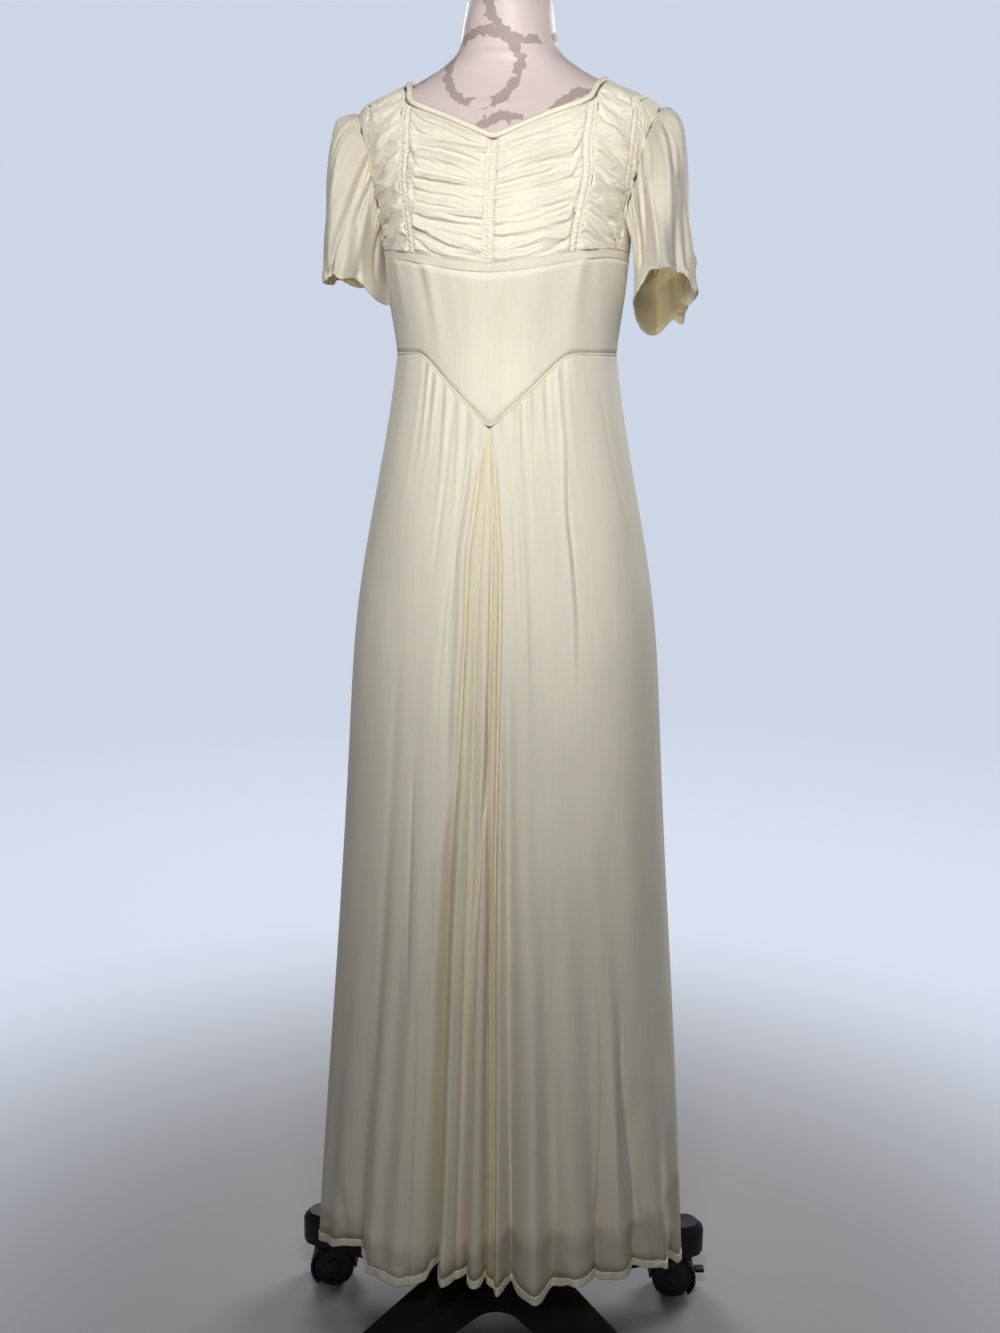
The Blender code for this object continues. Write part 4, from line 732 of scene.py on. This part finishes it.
# Folds: their line from the top down, by share of the half width and height, how far they stand
# out (a trough is negative), and their half width as a share.
FRONT_FOLDS = [
    ([(-0.01, 1.182), (-0.077, 1.136), (-0.138, 1.04), (-0.14, 0.963), (-0.161, 0.854),
      (-0.182, 0.772), (-0.223, 0.688), (-0.236, 0.566), (-0.241, 0.443),
      (-0.25, 0.15)], -0.011, 0.013),
    ([(-0.01, 1.182), (0.039, 1.157), (0.083, 1.04), (0.08, 0.964), (0.075, 0.879), (0.068, 0.762),
      (0.063, 0.644), (0.064, 0.523), (0.071, 0.449), (0.08, 0.15)], -0.01, 0.012),
    ([(-0.05, 1.182), (-0.115, 1.136), (-0.176, 1.04), (-0.18, 0.963), (-0.22, 0.772),
      (-0.262, 0.688), (-0.278, 0.443), (-0.288, 0.15)], 0.0034, 0.026),
    ([(0.02, 1.182), (0.075, 1.157), (0.118, 1.04), (0.112, 0.879), (0.1, 0.644),
      (0.11, 0.15)], 0.0034, 0.026),
    ([(-0.009, 1.179), (-0.017, 1.128), (-0.039, 1.07), (-0.068, 0.963), (-0.084, 0.8),
      (-0.104, 0.62), (-0.125, 0.15)], -0.0045, 0.01),
    ([(0.0, 1.17), (0.011, 1.133), (0.028, 1.07), (0.018, 0.869), (0.002, 0.771), (-0.02, 0.691),
      (-0.05, 0.575), (-0.067, 0.447), (-0.075, 0.15)], -0.009, 0.01),
    ([(0.01, 0.9), (0.014, 0.762), (0.029, 0.643), (0.025, 0.547), (0.022, 0.448),
      (0.029, 0.15)], -0.015, 0.008),
    ([(-0.06, 1.13), (-0.095, 1.0), (-0.12, 0.772), (-0.165, 0.6), (-0.18, 0.15)], 0.003, 0.022),
    ([(-0.1, 1.19), (-0.145, 1.15), (-0.215, 1.055), (-0.245, 0.95), (-0.26, 0.8)], -0.0022, 0.012),
    ([(0.11, 1.19), (0.155, 1.1), (0.17, 1.0), (0.165, 0.9)], -0.0016, 0.012),
    ([(-0.197, 1.202), (-0.193, 1.14), (-0.241, 1.051), (-0.29, 0.93),
      (-0.31, 0.82)], -0.0022, 0.014),
    ([(-0.342, 1.199), (-0.337, 1.14), (-0.36, 1.05), (-0.38, 0.96)], -0.0014, 0.016),
    ([(0.608, 1.18), (0.557, 1.082), (0.56, 1.037), (0.56, 0.9)], -0.0011, 0.013),
    ([(0.58, 1.19), (0.525, 1.082), (0.525, 1.037), (0.528, 0.86)], 0.0024, 0.02),
    ([(0.88, 1.23), (0.94, 1.081), (0.942, 0.976), (0.95, 0.8)], -0.0018, 0.014),
    ([(0.23, 1.225), (0.232, 1.1), (0.245, 0.95), (0.26, 0.8)], 0.0028, 0.022),
    ([(0.3, 1.24), (0.29, 1.12), (0.3, 1.0)], -0.0016, 0.014),
    ([(0.142, 0.4), (0.157, 0.279), (0.165, 0.15)], -0.006, 0.018),
    ([(0.64, 0.52), (0.653, 0.415), (0.617, 0.273), (0.605, 0.15)], -0.006, 0.015),
    ([(0.745, 0.48), (0.745, 0.405), (0.772, 0.345), (0.79, 0.15)], -0.0045, 0.014),
    ([(0.7, 0.56), (0.7, 0.4), (0.7, 0.15)], 0.003, 0.022),
    ([(0.42, 0.7), (0.4, 0.45), (0.39, 0.15)], -0.003, 0.024),
    ([(0.3, 0.62), (0.3, 0.4), (0.3, 0.15)], 0.004, 0.04),
    ([(-0.38, 0.52), (-0.38, 0.387), (-0.385, 0.15)], -0.0045, 0.016),
    ([(-0.452, 0.8), (-0.452, 0.634), (-0.424, 0.48)], -0.0024, 0.012),
    ([(-0.56, 0.98), (-0.6, 0.76), (-0.62, 0.48), (-0.64, 0.15)], -0.0016, 0.03),
]
BACK_FOLDS = [
    ([(-0.62, 1.2), (-0.64, 0.9), (-0.66, 0.5), (-0.68, 0.1)], -0.004, 0.022),
    ([(-0.42, 1.22), (-0.44, 0.9), (-0.43, 0.5), (-0.46, 0.1)], -0.006, 0.018),
    ([(-0.36, 1.22), (-0.37, 0.9), (-0.36, 0.5), (-0.38, 0.1)], 0.004, 0.026),
    ([(-0.17, 1.2), (-0.2, 0.9), (-0.19, 0.5), (-0.22, 0.1)], -0.008, 0.016),
    ([(-0.05, 1.18), (-0.04, 0.9), (-0.06, 0.5), (-0.05, 0.1)], -0.006, 0.016),
    ([(0.03, 1.18), (0.03, 0.9), (0.02, 0.5), (0.04, 0.1)], 0.004, 0.026),
    ([(0.12, 1.2), (0.14, 0.9), (0.13, 0.5), (0.16, 0.1)], -0.008, 0.016),
    ([(0.33, 1.22), (0.35, 0.9), (0.36, 0.5), (0.37, 0.1)], -0.006, 0.018),
    ([(0.41, 1.22), (0.42, 0.9), (0.43, 0.5), (0.44, 0.1)], 0.0036, 0.026),
    ([(0.58, 1.2), (0.6, 0.9), (0.62, 0.5), (0.66, 0.1)], -0.0044, 0.02),
    ([(0.8, 1.1), (0.82, 0.8), (0.82, 0.1)], -0.0034, 0.022),
    ([(-0.82, 1.1), (-0.83, 0.8), (-0.84, 0.1)], -0.0034, 0.022),
]
# Gathers of the waist seam on each side: distance across, how far they run down, and their height.
WAIST_GATHERS = [
    (0.005, 0.12, 0.0016), (0.011, 0.2, -0.0018), (0.017, 0.09, 0.0018), (0.024, 0.15, -0.0014),
    (0.031, 0.11, 0.002), (0.038, 0.08, -0.0016), (0.045, 0.16, 0.0018), (0.053, 0.1, -0.0014),
    (0.06, 0.13, 0.002), (0.067, 0.07, -0.0014), (0.075, 0.12, 0.0016), (0.082, 0.06, -0.001),
    (0.094, 0.05, 0.0008), (0.108, 0.05, -0.0007),
]
# Crinkles of the front near its hem, by distance across and height.
HEM_CRINKLES = [
    (0.168, 0.31, 0.178, 0.19, 0.004, 0.004, 0.007, False),
    (0.182, 0.262, 0.214, 0.14, 0.004, -0.0048, 0.0065, False),
    (0.194, 0.24, 0.226, 0.15, 0.002, 0.0042, 0.007, False),
    (0.112, 0.132, 0.164, 0.084, 0.004, 0.0044, 0.007, False),
    (0.122, 0.146, 0.172, 0.104, 0.004, -0.004, 0.006, False),
    (0.186, 0.132, 0.226, 0.088, 0.003, 0.004, 0.0065, False),
    (0.15, 0.28, 0.14, 0.18, -0.004, -0.004, 0.007, False),
    (0.09, 0.205, 0.126, 0.128, 0.003, 0.0032, 0.0065, False),
    (0.066, 0.165, 0.05, 0.085, -0.003, -0.0036, 0.006, False),
    (-0.052, 0.225, -0.034, 0.11, 0.003, 0.0032, 0.0065, False),
    (-0.142, 0.2, -0.112, 0.11, 0.004, 0.0034, 0.0075, False),
    (-0.196, 0.245, -0.178, 0.12, 0.003, -0.0034, 0.007, False),
    (0.205, 0.42, 0.212, 0.3, 0.003, 0.0026, 0.007, False),
    (0.188, 0.4, 0.176, 0.33, -0.003, -0.0026, 0.0065, False),
]


def fold_line(line, height):
    """Where a fold's line lies at a height, by share of the half width."""
    shares, heights = zip(*line[::-1])
    return np.interp(height, heights, shares)


def fold_relief(points, back):
    """Relief of a skirt's folds and waist gathers, and each point's share of the half width."""
    height = points[:, 2]
    share = points[:, 0] / np.interp(height, *zip(*SKIRT_WIDTHS))
    total = np.zeros(len(points))
    for line, rise, width in BACK_FOLDS if back else FRONT_FOLDS:
        top, bottom = line[0][1], line[-1][1]
        grown = np.clip((top - height) / (0.45 * (top - bottom)), 0, 1) ** 0.5
        if bottom > 0.2:
            grown *= np.clip((height - bottom) / (0.5 * (top - bottom)), 0, 1)
        total += rise * grown * np.exp(-((share - fold_line(line, height)) / width) ** 2)
    for across, length, rise in WAIST_GATHERS:
        rise = 0.7 * rise if back else rise
        dip = 0.0 if back else POINT_DROP * max(0.0, 1 - across / POINT_HALF_WIDTH)
        drop = WAIST_HEIGHT - dip - height
        fade = np.clip(drop / 0.004, 0, 1) * np.clip(1 - drop / length, 0, 1)
        for side in (-1, 1):
            start = across * side * (1 + 0.10 * math.sin(900 * across + side))
            middle = start * (1 + 1.2 * np.maximum(drop, 0))
            total += rise * fade * np.exp(-((points[:, 0] - middle) / 0.0030) ** 2)
    return total * (1 - np.clip(np.abs(share), 0, 1) ** 14), share


def paint(mesh, name, values):
    """Gives the mesh's points a value that a material reads."""
    layer = mesh.attributes.new(name, "FLOAT", "POINT")
    layer.data.foreach_set("value", values.astype(np.float32))


# How far the uneven front hem rides up, by share of the half width.
HEM_LIFT = [
    (-1.0, 0.004), (-0.92, 0.012), (-0.8, 0.028), (-0.64, 0.028), (-0.62, 0.004), (-0.5, 0.0),
    (-0.4, -0.006), (-0.28, 0.0), (-0.265, 0.016), (-0.1, 0.014), (0.06, 0.012), (0.09, -0.004),
    (0.25, 0.0), (0.33, -0.004), (0.4, 0.008), (0.46, 0.026), (0.58, 0.028), (0.61, 0.014),
    (0.7, 0.03), (0.8, 0.036), (0.92, 0.034), (0.97, 0.018), (1.0, 0.006),
]
LIFT_TOP, LIFT_DEPTH = 0.36, 0.28   # the hem rides up below this height, over this distance
POINT_FOOT = 1.182          # height where the deep folds leave the point
LINING_EDGE = 0.208         # mean height of the lining's edge, seen through the skirt
LINING_BLUR = 0.012
HEM_TINT = (0.76, 0.69, 0.55)
sheer_crepe = crepe_material("sheer_ivory_crepe", IVORY, IVORY_SHADE, sheer=True)
hem_crepe = crepe_material("folded_ivory_crepe", HEM_TINT, IVORY)
for node, made in (("skirt_front", sheer_crepe), ("skirt_back", sheer_crepe),
                   ("skirt_hem_front", hem_crepe), ("skirt_hem_back", hem_crepe)):
    mesh = rounded_mesh(node, 3, 0.0026)
    points = places_of(mesh)
    height = points[:, 2].copy()
    relief, share = fold_relief(points, "back" in node)
    if "front" in node:
        relief += creases(points[:, 0], height, HEM_CRINKLES) * (points[:, 1] < 0)
    points += outward(points, 0.6) * relief[:, None]
    # Painted shade: the troughs of the folds are tinted darker and yellower, deeper troughs more.
    painted_shading_amount = 0.5 * np.clip(-relief / 0.009, 0, 1)
    if "front" in node:
        lowered = np.clip((LIFT_TOP - height) / LIFT_DEPTH, 0, 1) ** 1.5
        points[:, 2] += lowered * np.interp(share, *zip(*HEM_LIFT))
        left, right = (fold_line(line, height) for line, rise, width in FRONT_FOLDS[:2])
        inside = np.clip((share - left) / 0.008, 0, 1) * np.clip((right - share) / 0.008, 0, 1)
        # Painted light: between the two deep folds under the point the crepe gets a yellow painted
        # light, strongest beside each fold.
        glow = np.exp(-((share - left - 0.030) / 0.030) ** 2)
        glow += np.exp(-((right - 0.022 - share) / 0.022) ** 2)
        painted_shading_amount += inside * (height < POINT_FOOT) * (0.25 + 0.55 * glow)
    move_to(mesh, points)
    paint(mesh, "painted_shading", np.clip(painted_shading_amount, 0, 1))
    turn = np.arctan2(points[:, 0], -points[:, 1])
    edge = LINING_EDGE + 0.030 * np.sin(turn + 0.02 * math.tau) + 0.010 * np.sin(5 * turn)
    paint(mesh, "lined", np.clip((points[:, 2] - edge) / LINING_BLUR + 0.5, 0, 1))
    cloth_piece(node, mesh, made)
lining_cloth = crepe_material("ivory_lining", (0.80, 0.74, 0.60), (0.74, 0.68, 0.54))
for node in ("lining_edge_front", "lining_edge_back"):
    piece = new_piece(node + "_cloth", rounded_mesh(node, 2, 0.0022), lining_cloth)
    stand_for(piece, node)

# The sleeves: short, gathered into the armhole over the shoulder, with a soft hem that turns
# under on the left and falls open on the right.
SLEEVE_TOP = (0.1596, 1.4635)       # middle of the armhole, across and up
SLEEVE_END = (0.1810, 1.3380)       # middle of the open end
SLEEVE_FLATNESS = 0.40      # of its oval section, across the arm
SLEEVE_REACH = 0.060        # metres round the sleeve for each radian
SLEEVE_CUT = (0.420, 0.190)
FOLDED_EDGE = math.radians(172)     # the relief fades before this, where the sleeve lies under the arm
LOBES_START = 0.35          # share of the sleeve's length where its end starts to stand out
# Amount of painted light on the sleeves' inner faces, which tints them lighter and yellower.
INSIDE_PAINTED_LIGHT = 0.7
# Creases by degrees round the sleeve, 0 outside, -90 in front, and share of its length.
SLEEVE_CREASES = {
    "left": [
        (-12, -0.48, -22, 0.3, 0.0, 0.005, 0.005, True),
        (-28, -0.46, -40, 0.45, 0.003, -0.005, 0.0042, True),
        (-44, -0.42, -52, 0.3, 0.0, 0.0046, 0.005, True),
        (-70, -0.36, -58, 0.35, 0.0, -0.005, 0.004, True),
        (-90, -0.3, -74, 0.5, 0.004, 0.0046, 0.006, True),
        (-150, -0.42, -98, 0.1, 0.004, -0.006, 0.0045, True),
        (-132, -0.1, -100, 0.45, 0.003, -0.006, 0.0045, False),
        (-95, -0.1, -60, 0.95, -0.004, -0.005, 0.0055, False),
        (-160, 0.15, -155, 0.85, 0.0, -0.006, 0.006, False),
        (-120, 0.2, -125, 0.9, 0.003, 0.005, 0.008, False),
        (12, -0.46, 20, 0.4, 0.0, -0.0042, 0.0045, True),
        (28, -0.46, 36, 0.4, 0.0, 0.0046, 0.0055, True),
        (46, -0.42, 54, 0.45, 0.0, -0.0046, 0.0045, True),
        (64, -0.36, 70, 0.5, 0.0, 0.0046, 0.006, True),
        (90, -0.3, 92, 0.6, 0.0, -0.005, 0.005, True),
        (120, -0.2, 122, 0.7, 0.0, -0.0045, 0.0055, True),
        (-20, 1.05, -16, 0.45, 0.0, -0.006, 0.007, True),
        (-46, 1.05, -44, 0.4, 0.0, 0.007, 0.009, True),
        (-72, 1.05, -70, 0.5, 0.0, -0.007, 0.0065, True),
        (-98, 1.05, -96, 0.45, 0.0, 0.006, 0.009, True),
        (-124, 1.05, -120, 0.5, 0.0, -0.006, 0.0065, True),
        (20, 1.05, 18, 0.45, 0.0, 0.006, 0.009, True),
        (50, 1.05, 48, 0.5, 0.0, -0.006, 0.007, True),
        (84, 1.05, 84, 0.45, 0.0, 0.006, 0.009, True),
        (112, 1.05, 112, 0.5, 0.0, -0.006, 0.007, True),
    ],
    "right": [
        (-4, -0.52, -14, 0.2, 0.0, -0.005, 0.0038, True),
        (-16, -0.5, -30, 0.4, 0.0, 0.0054, 0.0048, True),
        (-30, -0.48, -44, 0.2, 0.002, -0.0056, 0.0038, True),
        (-44, -0.44, -58, 0.9, 0.0, 0.006, 0.006, True),
        (-62, -0.4, -78, 0.1, 0.002, -0.0056, 0.0038, True),
        (-84, -0.36, -92, 0.1, 0.0, 0.005, 0.0048, True),
        (-100, -0.34, -111, 0.75, 0.004, -0.0085, 0.0045, True),
        (-122, -0.2, -132, 0.85, 0.003, -0.0085, 0.005, False),
        (-86, 0.1, -88, 0.95, 0.003, 0.006, 0.0075, False),
        (-30, 0.1, -34, 0.95, 0.003, -0.005, 0.006, False),
        (-150, 0.0, -152, 0.8, 0.0, 0.006, 0.007, False),
        (10, -0.5, 18, 0.3, 0.0, 0.005, 0.0048, True),
        (24, -0.48, 34, 0.4, 0.0, -0.005, 0.0042, True),
        (40, -0.46, 48, 0.4, 0.0, 0.005, 0.0055, True),
        (60, -0.4, 68, 0.5, 0.0, -0.005, 0.0045, True),
        (86, -0.34, 88, 0.6, 0.0, 0.0046, 0.006, True),
        (116, -0.2, 118, 0.7, 0.0, -0.005, 0.0055, True),
        (-16, 1.05, -16, 0.45, 0.0, 0.007, 0.009, True),
        (-50, 1.05, -48, 0.4, 0.0, -0.007, 0.007, True),
        (-74, 1.05, -72, 0.45, 0.0, 0.007, 0.009, True),
        (24, 1.1, 22, 0.45, 0.0, -0.007, 0.007, True),
        (52, 1.15, 50, 0.4, 0.0, 0.008, 0.01, True),
        (80, 1.15, 80, 0.4, 0.0, -0.008, 0.008, True),
        (108, 1.15, 108, 0.45, 0.0, 0.007, 0.01, True),
        (10, 0.62, 100, 0.8, 0.006, -0.0065, 0.006, False),
        (30, 0.82, 130, 0.98, 0.005, 0.0065, 0.006, False),
        (70, 0.68, 150, 0.88, -0.004, -0.006, 0.0055, False),
        (-20, 0.8, 50, 0.95, 0.004, 0.005, 0.006, False),
    ],
}
# How far the hem lifts and stands out, by degrees round the sleeve.
HEM_LOBES = {
    "left": [
        (-180, -0.004, 0.002), (-154, -0.004, 0.004), (-134, 0.008, -0.003), (-114, 0.014, 0.004),
        (-96, 0.0, 0.01), (-76, 0.009, 0.002), (-52, 0.0, -0.007), (-26, -0.006, 0.005),
        (0, 0.0, 0.003), (30, 0.014, -0.005), (64, 0.016, 0.004), (96, 0.018, -0.004),
        (130, 0.01, 0.004),
    ],
    "right": [
        (-180, -0.01, -0.002), (-154, -0.008, 0.006), (-132, 0.004, 0.002), (-112, 0.018, -0.003),
        (-94, 0.013, 0.005), (-76, 0.018, -0.003), (-58, 0.013, 0.005), (-40, 0.013, -0.002),
        (-24, 0.002, 0.0), (-8, -0.008, -0.003), (16, -0.002, -0.004), (40, 0.006, -0.006),
        (62, -0.002, 0.004), (88, 0.002, -0.006), (116, -0.004, 0.006), (146, -0.008, -0.003),
    ],
}
# The sleeves' crepe is a darker, greyer copy of the ivory crepe: partly the duller look of one unlined
# layer, partly painted shade over the whole sleeve.
one_layer_painted_shade = crepe_material("unlined_crepe_painted_shade", (0.675, 0.617, 0.507), (0.60, 0.546, 0.443))
top, end = Vector(SLEEVE_TOP), Vector(SLEEVE_END)
fall = (end - top).length
down = (end - top) / (end - top).length_squared
across = Vector((-down.y, down.x)).normalized()
for label, side in (("left", -1), ("right", 1)):
    rows = [(math.radians(a) * SLEEVE_REACH, -fall * b, math.radians(c) * SLEEVE_REACH, -fall * d,
             bow, rise, half, held)
            for a, b, c, d, bow, rise, half, held in SLEEVE_CREASES[label]]
    lobe_angles, lifts, stands = zip(*HEM_LOBES[label])
    for node in (f"sleeve_{label}", f"sleeve_hem_{label}"):
        mesh = rounded_mesh(node, 3, 0.0024, spread=0.0005)
        points = places_of(mesh)
        x, z = side * points[:, 0] - top.x, points[:, 2] - top.y
        share = x * down.x + z * down.y
        middle_x, middle_z = share * (end.x - top.x), share * (end.y - top.y)
        away = np.stack((side * (x - middle_x), points[:, 1], z - middle_z), 1)
        out = (x - middle_x) * across.x + (z - middle_z) * across.y
        angle = np.arctan2(SLEEVE_FLATNESS * points[:, 1], out)
        free = np.clip((FOLDED_EDGE - np.abs(angle)) / 0.5, 0, 1)
        relief = 1.5 * creases(angle * SLEEVE_REACH, -fall * share, rows) * free
        from_seam = (share - edges_of(angle, share, 40)[0]) * fall
        if "hem" not in node:
            relief *= 0.2 + 0.8 * np.clip(from_seam / 0.012, 0, 1)
        gathers = 0.0026 * np.exp(-from_seam / 0.030) * np.clip(from_seam / 0.008, 0.15, 1)
        relief += gathers * free * puckers(angle * SLEEVE_REACH, 0.0086, side)
        grown = np.clip((share - LOBES_START) / (1 - LOBES_START), 0, 1.3) ** 2
        for step in (-8, -4, 0, 4, 8):      # a mean of five, so that the lobes are round
            beside = np.degrees(angle) + step
            relief += 0.2 * grown * free * np.interp(beside, lobe_angles, stands, period=360)
            points[:, 2] += 0.2 * grown * np.interp(beside, lobe_angles, lifts, period=360)
        normals = np.array([vert.normal for vert in mesh.vertices])
        # Painted light: the sleeve's inner faces are tinted lighter and yellower.
        paint(mesh, "painted_shading", np.where((normals * away).sum(1) < 0, INSIDE_PAINTED_LIGHT, 0.0))
        away /= np.maximum(np.linalg.norm(away, axis=1, keepdims=True), 1e-6)
        points += away * relief[:, None]
        move_to(mesh, points)
        cloth_piece(node, mesh, one_layer_painted_shade)
    width, length = SLEEVE_CUT
